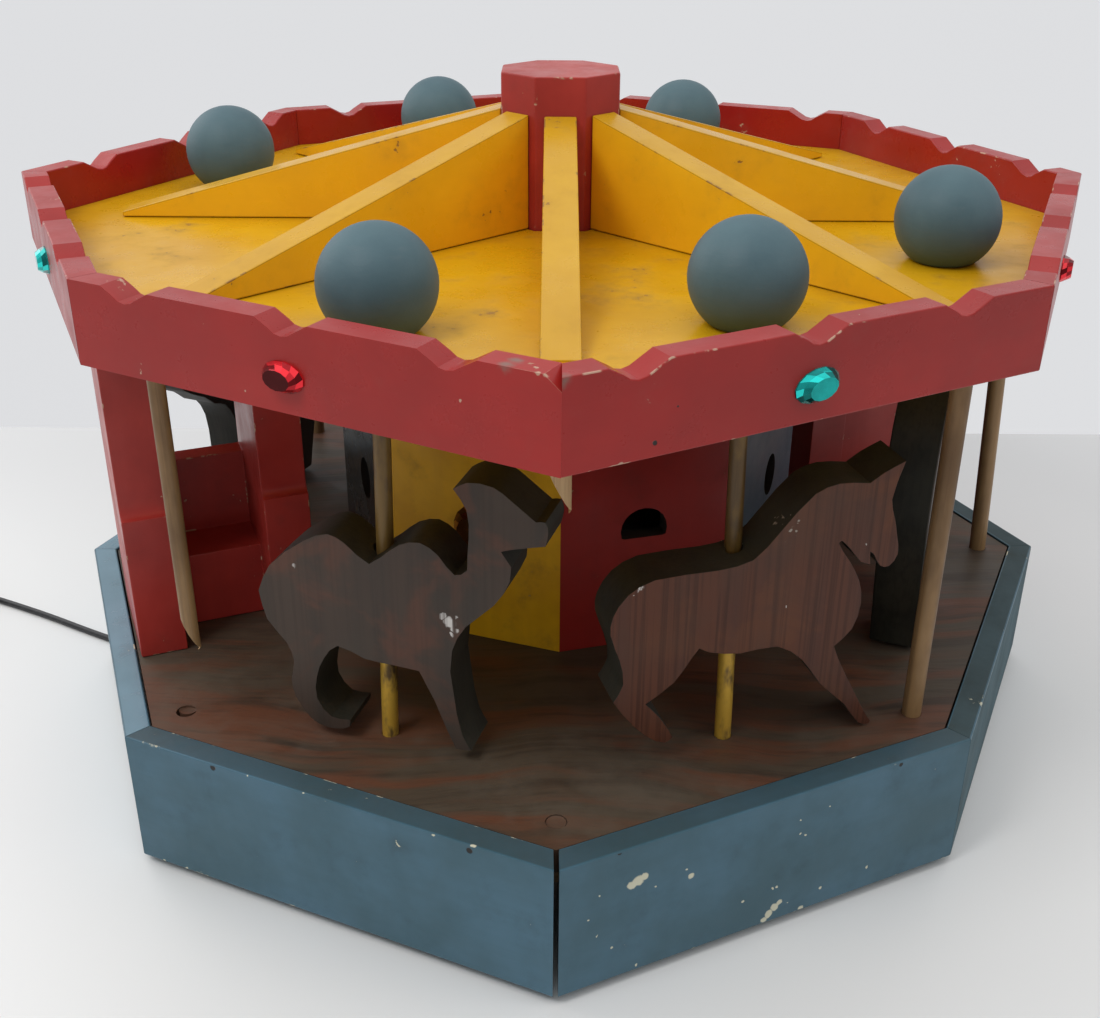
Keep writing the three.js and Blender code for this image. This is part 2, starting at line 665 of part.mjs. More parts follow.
// Lamp: a threaded pipe with a flange on the race block, a socket and a small globe bulb
const pipeRadius = 5;
const flangeRadius = 22;
const flangeThickness = 4;
const socketRadius = 17;
const socketHeight = 45;
const socketLift = 5;
const socketFloor = 15;
const capRadius = 12.7;
const capLength = 22;
const bulbRadius = 22.5;
const bulbNeckLength = 8;
const socketBottom = deckTop + socketLift;
const socketTop = socketBottom + socketHeight;
const capBottom = socketTop - socketFloor;
add('lamp_socket', turned([
  [0, blockTop + fitGap],
  [flangeRadius, blockTop + fitGap],
  [flangeRadius, blockTop + fitGap + flangeThickness],
  [pipeRadius, blockTop + fitGap + flangeThickness],
  [pipeRadius, socketBottom],
  [socketRadius * 0.7, socketBottom],
  [socketRadius, socketBottom + socketHeight / 4],
  [socketRadius, socketTop],
  [capRadius + fitGap, socketTop],
  [capRadius + fitGap, capBottom - fitGap],
  [0, capBottom - fitGap],
], 20), paint.brass);

function bulb() {
  const neckTop = capBottom + capLength + bulbNeckLength;
  const neckShare = 0.8;
  const lowAngle = Math.asin((capRadius * neckShare) / bulbRadius);
  const centre = neckTop + bulbRadius * Math.cos(lowAngle);
  const steps = 10;
  const globe = Array.from({ length: steps + 1 }, (_, i) => {
    const angle = lowAngle + ((Math.PI - lowAngle) * i) / steps;
    const radius = i === steps ? 0 : bulbRadius * Math.sin(angle);
    return [radius, centre - bulbRadius * Math.cos(angle)];
  });
  return turned([
    [0, capBottom],
    [capRadius, capBottom],
    [capRadius, capBottom + capLength],
    ...globe,
  ], 20);
}
add('light_bulb', bulb(), paint.glass);

// Drive: a small gear motor whose rubber wheel runs against the deck's underside
const driveAngle = 135 * degree;
const driveWheelRadius = 12;
const driveWheelWidth = 8;
const driveEdgeDistance = 27;
const driveRing = standRadius - driveEdgeDistance;
const shaftRadius = 2;
const shaftLength = 20;
const shaftOffset = 14;
const motorRadius = 21;
const motorLength = 24;
const motorFootWidth = 30;
const motorFootHeight = 8;
const motorFacets = 24;
const driveAxis = deckBottom - fitGap - driveWheelRadius;

// A round piece lying along the station's outward direction, between two radii of the lamp
function lying(radius, from, to, facets, height) {
  const geometry = new THREE.CylinderGeometry(radius, radius, to - from, facets);
  geometry.translate(0, -(from + to) / 2, height);
  return geometry;
}

function gearMotor() {
  const faceAt = driveRing - driveWheelWidth / 2 - 4 * fitGap;
  const backAt = faceAt - motorLength;
  const centre = driveAxis - shaftOffset;
  const can = lying(motorRadius, backAt, faceAt, motorFacets, centre);
  const shaft = lying(shaftRadius, faceAt - cutOverrun, faceAt - cutOverrun + shaftLength, 8, driveAxis);
  const footTop = boardThickness + fitGap + motorFootHeight;
  const foot = block(-motorFootWidth / 2, motorFootWidth / 2, -faceAt, -backAt, boardThickness + fitGap, footTop);
  return joined(can, shaft, foot);
}
const driveStation = stationAt(driveAngle);
add('gear_motor', gearMotor(), paint.steel, driveStation);

const driveWheel = cut(
  lying(driveWheelRadius, driveRing - driveWheelWidth / 2, driveRing + driveWheelWidth / 2, motorFacets, driveAxis),
  [lying(shaftRadius + fitGap, driveRing - driveWheelWidth, driveRing + driveWheelWidth, 8, driveAxis)],
);
add('drive_wheel', driveWheel, paint.rubber, driveStation);

// Cord: out of the groove, under the skirt, over the table and into a round coil
const leadRoute = [
  [-201.3, -14], [-212, -14], [-228, -13.8], [-246, -11], [-262, -6], [-277, 0.2], [-292, 7.6], [-313, 19.2],
  [-329.5, 28.8], [-346, 37.8], [-362, 46], [-379, 54.4], [-395, 62.2], [-410, 68], [-422, 71.2], [-426, 71.6],
  [-429.7, 71.6],
];
const coilCentre = new THREE.Vector2(-430, 42);
const coilPitch = 4.6;
const coilOuterRadius = 29.6;
const coilTurns = 10;
const layerTurns = 2.5;
const coilSteps = 24;

function section(radius, facets) {
  return new THREE.Shape(Array.from({ length: facets }, (_, i) => {
    const angle = (2 * Math.PI * i) / facets;
    return new THREE.Vector2(radius * Math.cos(angle), radius * Math.sin(angle));
  }));
}

const leadCurve = new THREE.CatmullRomCurve3(leadRoute.map(([x, y]) => new THREE.Vector3(x, y, cordHeight)));
add('cord_lead', new THREE.ExtrudeGeometry(section(cordRadius, 10), {
  steps: 44,
  extrudePath: leadCurve,
}), paint.rubber);

// The coil spirals in and out at a steady rate and climbs a layer where it turns back.
// Its last stretch climbs over the top layer and bends into the plug lying on the coil.
const tailRadius = 30.4;
const tailBend = 16;
const plugRearX = -9;
const tailTop = 8.3;
function coilPoint(turn) {
  const phase = turn % (2 * layerTurns);
  const inwards = phase < layerTurns ? phase : 2 * layerTurns - phase;
  const radius = coilOuterRadius - coilPitch * inwards;
  const layer = Math.floor(turn / layerTurns + 0.5);
  const climbTurns = 0.5;
  const progress = THREE.MathUtils.smoothstep(turn, layer * layerTurns - climbTurns / 2, layer * layerTurns + climbTurns / 2);
  const level = layer === 0 ? 0 : layer - 1 + progress;
  const angle = Math.PI / 2 + 2 * Math.PI * turn;
  return new THREE.Vector3(
    coilCentre.x + radius * Math.cos(angle),
    coilCentre.y + radius * Math.sin(angle),
    cordHeight + coilPitch * level,
  );
}

function coilRoute() {
  const topLevel = coilTurns / layerTurns - 1;
  const lastTurn = coilTurns - 0.25;
  const count = Math.round(lastTurn * coilSteps);
  const wound = Array.from({ length: count + 1 }, (_, i) => coilPoint((lastTurn * i) / count));
  const topHeight = cordHeight + coilPitch * topLevel;
  const arc = (centreX, centreY, radius, angle, height) => new THREE.Vector3(
    coilCentre.x + centreX + radius * Math.cos(angle),
    coilCentre.y + centreY + radius * Math.sin(angle),
    height,
  );
  const over = Array.from({ length: 13 }, (_, i) => {
    const share = (i + 1) / 13;
    const angle = share * Math.PI;
    const radius = THREE.MathUtils.lerp(wound.at(-1).distanceTo(new THREE.Vector3(coilCentre.x, coilCentre.y, wound.at(-1).z)), tailRadius, share);
    return arc(0, 0, radius, angle, topHeight + tailTop * 0.62 * THREE.MathUtils.smoothstep(share, 0, 1));
  });
  const bend = Array.from({ length: 6 }, (_, i) => {
    const share = (i + 1) / 6;
    const angle = Math.PI + (share * Math.PI) / 2;
    return arc(-tailRadius + tailBend, 0, tailBend, angle, topHeight + tailTop * (0.62 + 0.38 * share));
  });
  const endX = coilCentre.x + plugRearX - fitGap;
  const end = new THREE.Vector3(endX, coilCentre.y - tailBend, topHeight + tailTop);
  return [...wound, ...over, ...bend, end];
}

// A tube of six sides through the points, its section carried along without twisting
function woundTube(points, radius, facets) {
  const tangents = points.map((point, i) => {
    const before = points[Math.max(i - 1, 0)];
    const after = points[Math.min(i + 1, points.length - 1)];
    return after.clone().sub(before).normalize();
  });
  const vertices = [];
  points.forEach((point, i) => {
    const side = new THREE.Vector3(-tangents[i].y, tangents[i].x, 0).normalize();
    const up = tangents[i].clone().cross(side);
    for (let k = 0; k < facets; k += 1) {
      const angle = (2 * Math.PI * k) / facets;
      const offset = side.clone().multiplyScalar(radius * Math.cos(angle)).addScaledVector(up, radius * Math.sin(angle));
      vertices.push(...point.clone().add(offset).toArray());
    }
  });
  const faces = [];
  for (let i = 0; i < points.length - 1; i += 1) {
    for (let k = 0; k < facets; k += 1) {
      const a = i * facets + k;
      const b = i * facets + ((k + 1) % facets);
      faces.push(a, b, a + facets, b, b + facets, a + facets);
    }
  }
  const last = (points.length - 1) * facets;
  for (let k = 1; k < facets - 1; k += 1) {
    faces.push(0, k + 1, k, last, last + k, last + k + 1);
  }
  const geometry = new THREE.BufferGeometry();
  geometry.setAttribute('position', new THREE.Float32BufferAttribute(vertices, 3));
  geometry.setIndex(faces);
  geometry.computeVertexNormals();
  return geometry;
}

function leastSelfGap(points, diameter) {
  let least = Infinity;
  let travelled = 0;
  const stations = points.map((point, i) => {
    travelled += i ? point.distanceTo(points[i - 1]) : 0;
    return travelled;
  });
  points.forEach((point, i) => {
    for (let j = i + 1; j < points.length; j += 1) {
      if (stations[j] - stations[i] > 3 * diameter) {
        least = Math.min(least, point.distanceTo(points[j]) - diameter);
      }
    }
  });
  return { least, length: travelled };
}

const coilPoints = coilRoute();
const coilReport = leastSelfGap(coilPoints, cordDiameter);
console.log(`coil: least gap to itself ${coilReport.least.toFixed(2)} mm, cord length `
  + `${(leadCurve.getLength() + coilReport.length).toFixed(0)} mm`);
add('cord_coil', woundTube(coilPoints, cordRadius, 6), paint.rubber);

// Plug: a small moulded plug with two flat blades, lying on the coil
const plugLength = 28;
const plugWidth = 17;
const plugThickness = 12;
const bladeLength = 17;
const bladeWidth = 6.3;
const bladeThickness = 1.5;
const bladeSpacing = 12.7;
const plugWaistShare = 0.5;
function plug() {
  const rearX = coilCentre.x + plugRearX;
  const axisY = coilCentre.y - tailBend;
  const bodyShape = new THREE.Shape();
  bodyShape.moveTo(0, (-plugWidth * plugWaistShare) / 2);
  bodyShape.lineTo(plugLength / 2, -plugWidth / 2);
  bodyShape.lineTo(plugLength, -plugWidth / 2);
  bodyShape.lineTo(plugLength, plugWidth / 2);
  bodyShape.lineTo(plugLength / 2, plugWidth / 2);
  bodyShape.lineTo(0, (plugWidth * plugWaistShare) / 2);
  const body = new THREE.ExtrudeGeometry(bodyShape, { depth: plugThickness, bevelEnabled: false });
  body.translate(0, 0, -plugThickness / 2);
  const blade = (side) => block(
    plugLength - cutOverrun,
    plugLength + bladeLength,
    (side * bladeSpacing) / 2 - bladeThickness / 2,
    (side * bladeSpacing) / 2 + bladeThickness / 2,
    -bladeWidth / 2,
    bladeWidth / 2,
  );
  const geometry = joined(body, blade(1), blade(-1));
  geometry.translate(rearX, axisY, coilPoints.at(-1).z);
  return geometry;
}
add('plug', plug(), paint.rubber);

export default lamp;
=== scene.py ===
import json
import math
import bpy
from mathutils import Matrix, Vector

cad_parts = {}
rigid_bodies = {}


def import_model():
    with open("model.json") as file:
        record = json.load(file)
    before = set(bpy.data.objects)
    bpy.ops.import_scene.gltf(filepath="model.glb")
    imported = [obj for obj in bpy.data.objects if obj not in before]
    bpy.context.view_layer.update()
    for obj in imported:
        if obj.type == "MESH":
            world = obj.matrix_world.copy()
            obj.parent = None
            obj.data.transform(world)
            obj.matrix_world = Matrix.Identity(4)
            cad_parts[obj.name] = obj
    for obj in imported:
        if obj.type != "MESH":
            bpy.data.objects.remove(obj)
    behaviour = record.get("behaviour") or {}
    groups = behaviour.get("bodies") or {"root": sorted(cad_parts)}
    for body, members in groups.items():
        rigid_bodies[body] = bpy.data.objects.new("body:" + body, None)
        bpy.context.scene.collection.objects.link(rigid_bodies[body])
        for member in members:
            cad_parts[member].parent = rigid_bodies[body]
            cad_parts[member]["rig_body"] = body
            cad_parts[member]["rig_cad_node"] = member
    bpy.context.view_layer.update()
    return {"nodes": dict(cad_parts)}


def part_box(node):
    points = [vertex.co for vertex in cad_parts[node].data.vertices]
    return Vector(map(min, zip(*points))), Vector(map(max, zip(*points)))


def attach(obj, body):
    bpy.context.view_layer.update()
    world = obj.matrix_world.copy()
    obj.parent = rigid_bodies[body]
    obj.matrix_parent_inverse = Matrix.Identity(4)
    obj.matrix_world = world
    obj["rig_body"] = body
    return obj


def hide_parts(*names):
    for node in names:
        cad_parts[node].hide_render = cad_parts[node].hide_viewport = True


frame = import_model()
mm = 0.001

# The view: the lamp was photographed from a little above, square to its front corner,
# with the camera rolled by a third of a degree.
view_place = Vector((-3.34, -719.23, 460.0)) * mm
view_turn = math.radians(0.057)
view_rise = math.radians(26.49)
view_roll = math.radians(0.372)
view_focus = 1314.6
picture_width = 1100
sensor_width = 36
view_lens = view_focus / picture_width * sensor_width
backwards = Vector((
    math.sin(view_turn) * math.cos(view_rise),
    -math.cos(view_turn) * math.cos(view_rise),
    math.sin(view_rise),
))
level = Vector((math.cos(view_turn), math.sin(view_turn), 0))
rising = backwards.cross(level)
rightwards = level * math.cos(view_roll) + rising * math.sin(view_roll)
upwards = rising * math.cos(view_roll) - level * math.sin(view_roll)
bpy.ops.object.camera_add()
camera = bpy.context.object
camera.name = "camera"
camera.data.sensor_width = sensor_width
camera.data.lens = view_lens
camera_turn = Matrix((rightwards, upwards, backwards)).transposed().to_4x4()
camera.matrix_world = Matrix.Translation(view_place) @ camera_turn
bpy.context.scene.camera = camera

# The cord: one black mains lead, 4 mm thick and 1.82 m long. It leaves a groove in the stand,
# passes under the skirt and runs out over the table; what the view misses is wound in a coil.
# The radius of the curve's own points carries the thickness.
cord_thickness = 4 * mm
cord_level = 2.2
cord_run = [
    (-201.3, -14), (-212, -14), (-228, -13.8), (-246, -11), (-262, -6), (-277, 0.2), (-292, 7.6),
    (-313, 19.2), (-329.5, 28.8), (-346, 37.8), (-362, 46), (-379, 54.4), (-395, 62.2), (-410, 68),
    (-422, 71.2), (-426, 71.6),
]
coil_middle = (-430, 42)
coil_pitch = 4.6
coil_reach = 29.6
coil_turns = 10
turns_in_layer = 2.5
tail_reach = 30.4
tail_bend = 16
tail_rise = 8.3
first_rise = 0.62
plug_rear = -9.3
quarter_turn = 0.25
wound_steps = 312
over_steps = 16
bend_steps = 8


def soft_step(value, low, high):
    share = min(max((value - low) / (high - low), 0), 1)
    return share * share * (3 - 2 * share)


def coil_place(turn):
    phase = turn % (2 * turns_in_layer)
    inwards = min(phase, 2 * turns_in_layer - phase)
    layer = math.floor(turn / turns_in_layer + 0.5)
    climb = layer * turns_in_layer
    climbed = soft_step(turn, climb - quarter_turn, climb + quarter_turn)
    floor_level = 0 if layer == 0 else layer - 1 + climbed
    reach = coil_reach - coil_pitch * inwards
    angle = math.pi / 2 + 2 * math.pi * turn
    return (
        coil_middle[0] + reach * math.cos(angle),
        coil_middle[1] + reach * math.sin(angle),
        cord_level + coil_pitch * floor_level,
    )


last_turn = coil_turns - quarter_turn
wound = [coil_place(last_turn * i / wound_steps) for i in range(wound_steps + 1)]
top_level = cord_level + coil_pitch * (coil_turns / turns_in_layer - 1)
last_reach = math.hypot(wound[-1][0] - coil_middle[0], wound[-1][1] - coil_middle[1])
over = []
for i in range(1, over_steps + 1):
    share = i / over_steps
    reach = last_reach + (tail_reach - last_reach) * share
    over.append((
        coil_middle[0] + reach * math.cos(math.pi * share),
        coil_middle[1] + reach * math.sin(math.pi * share),
        top_level + tail_rise * first_rise * soft_step(share, 0, 1),
    ))
for i in range(1, bend_steps + 1):
    angle = math.pi * (1 + i / bend_steps / 2)
    over.append((
        coil_middle[0] - tail_reach + tail_bend + tail_bend * math.cos(angle),
        coil_middle[1] + tail_bend * math.sin(angle),
        top_level + tail_rise * (first_rise + (1 - first_rise) * i / bend_steps),
    ))
over.append((coil_middle[0] + plug_rear, coil_middle[1] - tail_bend, top_level + tail_rise))
cord_points = [(x, y, cord_level) for x, y in cord_run] + wound + over

cord_line = bpy.data.curves.new("cord", "CURVE")
cord_line.dimensions = "3D"
cord_line.bevel_depth = 1
cord_line.bevel_resolution = 3
cord_line.resolution_u = 2
cord_line.use_fill_caps = True
cord_spline = cord_line.splines.new("NURBS")
cord_spline.points.add(len(cord_points) - 1)
for point, place in zip(cord_spline.points, cord_points):
    point.co = (*[v * mm for v in place], 1)
    point.radius = cord_thickness / 2
cord_spline.order_u = 3
cord_spline.use_endpoint_u = True
cord = bpy.data.objects.new("cord", cord_line)
bpy.context.scene.collection.objects.link(cord)
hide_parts("cord_lead", "cord_coil")
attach(cord, "stand")


def new_finish(name, roughness, **others):
    finish = bpy.data.materials.new(name)
    finish.use_nodes = True
    shader = finish.node_tree.nodes["Principled BSDF"]
    shader.inputs["Roughness"].default_value = roughness
    for socket, value in others.items():
        shader.inputs[socket.replace("_", " ")].default_value = value
    return finish


def is_linked(value):
    return isinstance(value, bpy.types.NodeSocket)


def put(kind, sockets, finish=None, **settings):
    """Adds a node and links or sets its inputs, in the given finish or the one that its links are in."""
    tree = finish.node_tree if finish else next(filter(is_linked, sockets.values())).id_data
    made = tree.nodes.new(kind)
    for setting, value in settings.items():
        setattr(made, setting, value)
    for socket, value in sockets.items():
        if is_linked(value):
            tree.links.new(value, made.inputs[socket])
        else:
            made.inputs[socket].default_value = value
    return made


def into_shader(socket, output):
    tree = output.id_data
    tree.links.new(output, tree.nodes["Principled BSDF"].inputs[socket])


def places_on(finish):
    return put("ShaderNodeTexCoord", {}, finish).outputs["Object"]


def left_on(finish, name="grain", output="Vector"):
    """Reads what lay_grain or paint_facet_glints left on the piece's own mesh."""
    return put("ShaderNodeAttribute", {}, finish, attribute_name=name).outputs[output]


def stretched(vector, scale, shift=(0, 0, 0), turn=(0, 0, 0)):
    sockets = {"Vector": vector, "Scale": scale, "Location": shift, "Rotation": turn}
    return put("ShaderNodeMapping", sockets).outputs["Vector"]


def clouds(vector, scale, detail=3.0, roughness=0.5, distortion=0.0):
    sockets = {
        "Vector": vector, "Scale": scale, "Detail": detail,
        "Roughness": roughness, "Distortion": distortion,
    }
    return put("ShaderNodeTexNoise", sockets).outputs["Fac"]


def between(value, low, high, start=0.0, end=1.0):
    sockets = {"Value": value, "From Min": low, "From Max": high, "To Min": start, "To Max": end}
    return put("ShaderNodeMapRange", sockets, interpolation_type="SMOOTHSTEP").outputs["Result"]


def weighted(value, weight, rest=0.0):
    return put("ShaderNodeMath", {0: value, 1: weight, 2: rest}, operation="MULTIPLY_ADD").outputs[0]


def greater(first, second):
    return put("ShaderNodeMath", {0: first, 1: second}, operation="MAXIMUM").outputs[0]


def mixed(share, first, second):
    first, second = (colour if is_linked(colour) else (*colour, 1) for colour in (first, second))
    return put("ShaderNodeMix", {0: share, 6: first, 7: second}, data_type="RGBA").outputs[2]


def laid_over(colour, tone, *pattern):
    """Lays a tone over a colour: the pattern that guides it, its low and high, and the share at each."""
    return mixed(between(*pattern), colour, tone)


def parts_of(vector):
    return put("ShaderNodeSeparateXYZ", {0: vector}).outputs


def mottled(name, roughness, first, second, cloud, low, high, **others):
    """A finish that drifts between two tones, and the cloudy pattern that it follows."""
    finish = new_finish(name, roughness, **others)
    pattern = clouds(places_on(finish), *cloud)
    into_shader("Base Color", laid_over(first, second, pattern, low, high))
    return finish, pattern


def roughened(pattern, smooth, rough, high=0.7):
    into_shader("Roughness", between(pattern, 0.3, high, smooth, rough))


def bumped(height, strength, depth):
    sockets = {"Height": height, "Strength": strength, "Distance": depth}
    into_shader("Normal", put("ShaderNodeBump", sockets).outputs["Normal"])


black_sheath, sheath_dust = mottled(
    "black_sheath", 0.42, (0.012, 0.012, 0.014), (0.04, 0.04, 0.042), (320, 4), 0.45, 0.75,
)
roughened(sheath_dust, 0.36, 0.55)
bumped(clouds(places_on(black_sheath), 900, 2), 0.15, 0.0003)
cord_line.materials.append(black_sheath)

# The plug: a small moulded two-blade plug lying on the coil, its body waisted for the fingers,
# and brass blades thinned at their tips. A step is a share of its length and of its width there.
plug_length, plug_width, plug_height = 28 * mm, 17 * mm, 12 * mm
plug_steps = [
    (0.0, 0.46), (0.12, 0.52), (0.3, 0.66), (0.42, 0.72),
    (0.5, 0.9), (0.56, 0.98), (0.96, 1.0), (1.0, 0.92),
]
height_share = 0.62
blade_size = (19 * mm, 1.5 * mm, 6.3 * mm)
blade_aside = 6.35 * mm


def to_mode(mode):
    bpy.ops.object.mode_set(mode=mode)


def nothing_chosen():
    if bpy.context.object and bpy.context.object.mode != "OBJECT":
        to_mode("OBJECT")
    bpy.ops.object.select_all(action="DESELECT")


def choose_only(piece):
    nothing_chosen()
    piece.select_set(True)
    bpy.context.view_layer.objects.active = piece


def new_mesh(adding, **settings):
    nothing_chosen()
    adding(**settings)
    return bpy.context.object


def choose_faces(piece, wanted):
    to_mode("EDIT")
    bpy.ops.mesh.select_mode(type="FACE")
    bpy.ops.mesh.select_all(action="DESELECT")
    to_mode("OBJECT")
    for face in piece.data.polygons:
        face.select = wanted(face)
    to_mode("EDIT")


def choose_end(piece, axis):
    """Chooses the flat face that lies furthest along an axis."""
    to_mode("OBJECT")
    end = max(vertex.co[axis] for vertex in piece.data.vertices)
    choose_faces(piece, lambda face: face.normal[axis] > 0.9 and face.center[axis] > end - 0.01 * mm)


def coat(piece, *finishes):
    for finish in finishes:
        piece.data.materials.append(finish)


def finished(piece, name, slot_name, *nodes, smooth, body="carousel"):
    """Settles a piece's mesh, sharp where it turns more than smooth, and tells the frame what it is."""
    choose_only(piece)
    bpy.ops.object.transform_apply(location=True, rotation=True, scale=True)
    bpy.ops.object.shade_smooth_by_angle(angle=math.radians(smooth))
    bpy.ops.object.modifier_add(type="WEIGHTED_NORMAL")
    piece.modifiers[-1].keep_sharp = True
    bpy.ops.object.modifier_apply(modifier=piece.modifiers[-1].name)
    piece.name = name
    piece.data.name = name
    if nodes:
        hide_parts(*nodes)
    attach(piece, body)


def rounded(piece, width, segments=2, angle=40, slot=-1, glued=None):
    """Eases the edges sharper than an angle, but not those of a glued face, which stay tight."""
    choose_only(piece)
    if glued:
        easing = piece.data.attributes.new("bevel_weight_edge", "FLOAT", "EDGE")
        beside = {}
        for face in piece.data.polygons:
            for key in face.edge_keys:
                beside.setdefault(key, []).append(face)
        for edge, value in zip(piece.data.edges, easing.data):
            faces = beside.get(edge.key, [])
            sharp = len(faces) == 2 and faces[0].normal.angle(faces[1].normal, 0) > math.radians(angle)
            value.value = 1.0 if sharp and not any(glued(face) for face in faces) else 0.0
    bpy.ops.object.modifier_add(type="BEVEL")
    bevel = piece.modifiers[-1]
    bevel.width = width
    bevel.segments = segments
    bevel.limit_method = "WEIGHT" if glued else "ANGLE"
    bevel.angle_limit = math.radians(angle)
    bevel.material = slot
    bpy.ops.object.modifier_apply(modifier=bevel.name)


plug_low, plug_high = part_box("plug")
plug_middle = Vector((plug_low.x, (plug_low.y + plug_high.y) / 2, (plug_low.z + plug_high.z) / 2))
plug = new_mesh(bpy.ops.mesh.primitive_cube_add, size=1, location=plug_middle)
to_mode("EDIT")
bpy.ops.transform.resize(value=(0.001 * mm, plug_width * plug_steps[0][1], plug_height * height_share))
for (before, width_before), (share, width) in zip(plug_steps, plug_steps[1:]):
    choose_end(plug, 0)
    step = (share - before) * plug_length
    widening = width / width_before
    bpy.ops.mesh.extrude_region_move(TRANSFORM_OT_translate={"value": (step, 0, 0)})
    bpy.ops.transform.resize(value=(1, widening, 1 + (widening - 1) * height_share))
to_mode("OBJECT")
rounded(plug, 2.2 * mm, 3, 30)
finished(plug, "plug_moulding", "plug_body", "plug", smooth=45, body="stand")
coat(plug, black_sheath)

blade_metal = new_finish("blade_brass", 0.28, Metallic=1.0)
blade_wear = clouds(stretched(places_on(blade_metal), (60, 900, 900)), 1)
into_shader("Base Color", laid_over((0.62, 0.47, 0.22), (0.42, 0.33, 0.19), blade_wear, 0.35, 0.7))
plug_blades = []
for side in (1, -1):
    blade_place = (plug_high.x - blade_size[0] / 2, plug_middle.y + side * blade_aside, plug_middle.z)
    blade = new_mesh(bpy.ops.mesh.primitive_cube_add, size=1, location=blade_place)
    to_mode("EDIT")
    bpy.ops.transform.resize(value=blade_size)
    choose_faces(blade, lambda face: face.normal.x > 0.9)
    bpy.ops.transform.resize(value=(1, 0.5, 0.8))
    to_mode("OBJECT")
    rounded(blade, 0.3 * mm, 2, 30)
    finished(blade, f"plug_blade_{len(plug_blades) + 1}", "plug_body", smooth=45, body="stand")
    coat(blade, blade_metal)
    plug_blades.append(blade)

# The skirt: eight mitred boards of half-inch stock nailed round the deck and painted blue.
# The paint is scuffed and chipped to a cream undercoat, and the top edges are darkened, partly by grime
# and partly by painted shade under the roof's overhang.
sides = 8
upright = Vector((0, 0, 1))
to_front = Vector((0, -1, 0))
lamp_corners = [2 * math.pi * i / sides for i in range(sides)]
skirt_reach = [293.8, 282.5, 294.5, 290, 290, 282.8, 283, 290]
skirt_turn = [0, 0.3, 0.2, 0, 0, 0, 2.3, -0.9]
skirt_edge = 0.9 * mm
# The two right boards get a rougher paint that is darker and greyer than the rest.
dull_boards = (1, 2)
# The two left boards get a paler, bluer paint: a painted sheen, the reflection of the light on the left.
painted_sheen_boards = (5, 6)


def corner_places(reaches, turns):
    """Corners of a hand-fitted eight-sided outline, from their distances in mm and turns in degrees."""
    places = []
    for corner, reach, turn in zip(lamp_corners, reaches, turns):
        angle = corner + math.radians(turn)
        places.append(Vector((reach * mm * math.sin(angle), -reach * mm * math.cos(angle), 0)))
    return places


def side_of(corners, i):
    return corners[i], corners[(i + 1) % sides]


def sawn_copy(node, *finishes):
    """A working copy of a plain solid, with its faces joined so that its edges can be eased."""
    choose_only(frame["nodes"][node])
    bpy.ops.object.duplicate()
    piece = bpy.context.object
    bpy.ops.object.parent_clear(type="CLEAR")
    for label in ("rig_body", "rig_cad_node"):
        del piece[label]
    to_mode("EDIT")
    bpy.ops.mesh.select_all(action="SELECT")
    bpy.ops.mesh.remove_doubles(threshold=1e-6)
    bpy.ops.mesh.dissolve_limited(angle_limit=math.radians(1))
    bpy.ops.mesh.customdata_custom_splitnormals_clear()
    to_mode("OBJECT")
    piece.data.materials.clear()
    coat(piece, *finishes)
    return piece


def lay_grain(piece, start, along, up=upright, piece_number=0):
    """Gives each point its place on its own board: along the grain, inwards and up, a metre apart for each
    piece number. Gives each face its rise: how far it looks up."""
    along = Vector(along).normalized()
    inwards = Vector(up).cross(along)
    grain = piece.data.attributes.new("grain", "FLOAT_VECTOR", "POINT")
    for vertex, value in zip(piece.data.vertices, grain.data):
        place = vertex.co - Vector(start)
        value.vector = (place.dot(along), place.dot(inwards), place.dot(Vector(up)) + piece_number)
    rise = piece.data.attributes.new("rise", "FLOAT", "FACE")
    for face, value in zip(piece.data.polygons, rise.data):
        value.value = face.normal.z


def marks_on(vector, marks, ragged=3.0, soft=0.25):
    """One mask of small marks, each with its board, place along and up it, radius, and maybe depth."""
    wander = put("ShaderNodeTexNoise", {"Vector": vector, "Scale": 260.0, "Detail": 3.0}).outputs["Color"]
    shaken = put("ShaderNodeVectorMath", {
        0: wander, 1: (ragged * mm,) * 3, 2: (-ragged / 2 * mm,) * 3,
    }, operation="MULTIPLY_ADD").outputs["Vector"]
    place = put("ShaderNodeVectorMath", {0: vector, 1: shaken}, operation="ADD").outputs["Vector"]
    mask = None
    for number, along, up, radius, *inwards in marks:
        middle = (along * mm, sum(inwards) * mm, number + up * mm)
        away = put("ShaderNodeVectorMath", {0: place, 1: middle}, operation="DISTANCE").outputs["Value"]
        share = between(away, (1 - soft) * radius * mm, (1 + soft / 2) * radius * mm, 1, 0)
        mask = share if mask is None else greater(mask, share)
    return mask


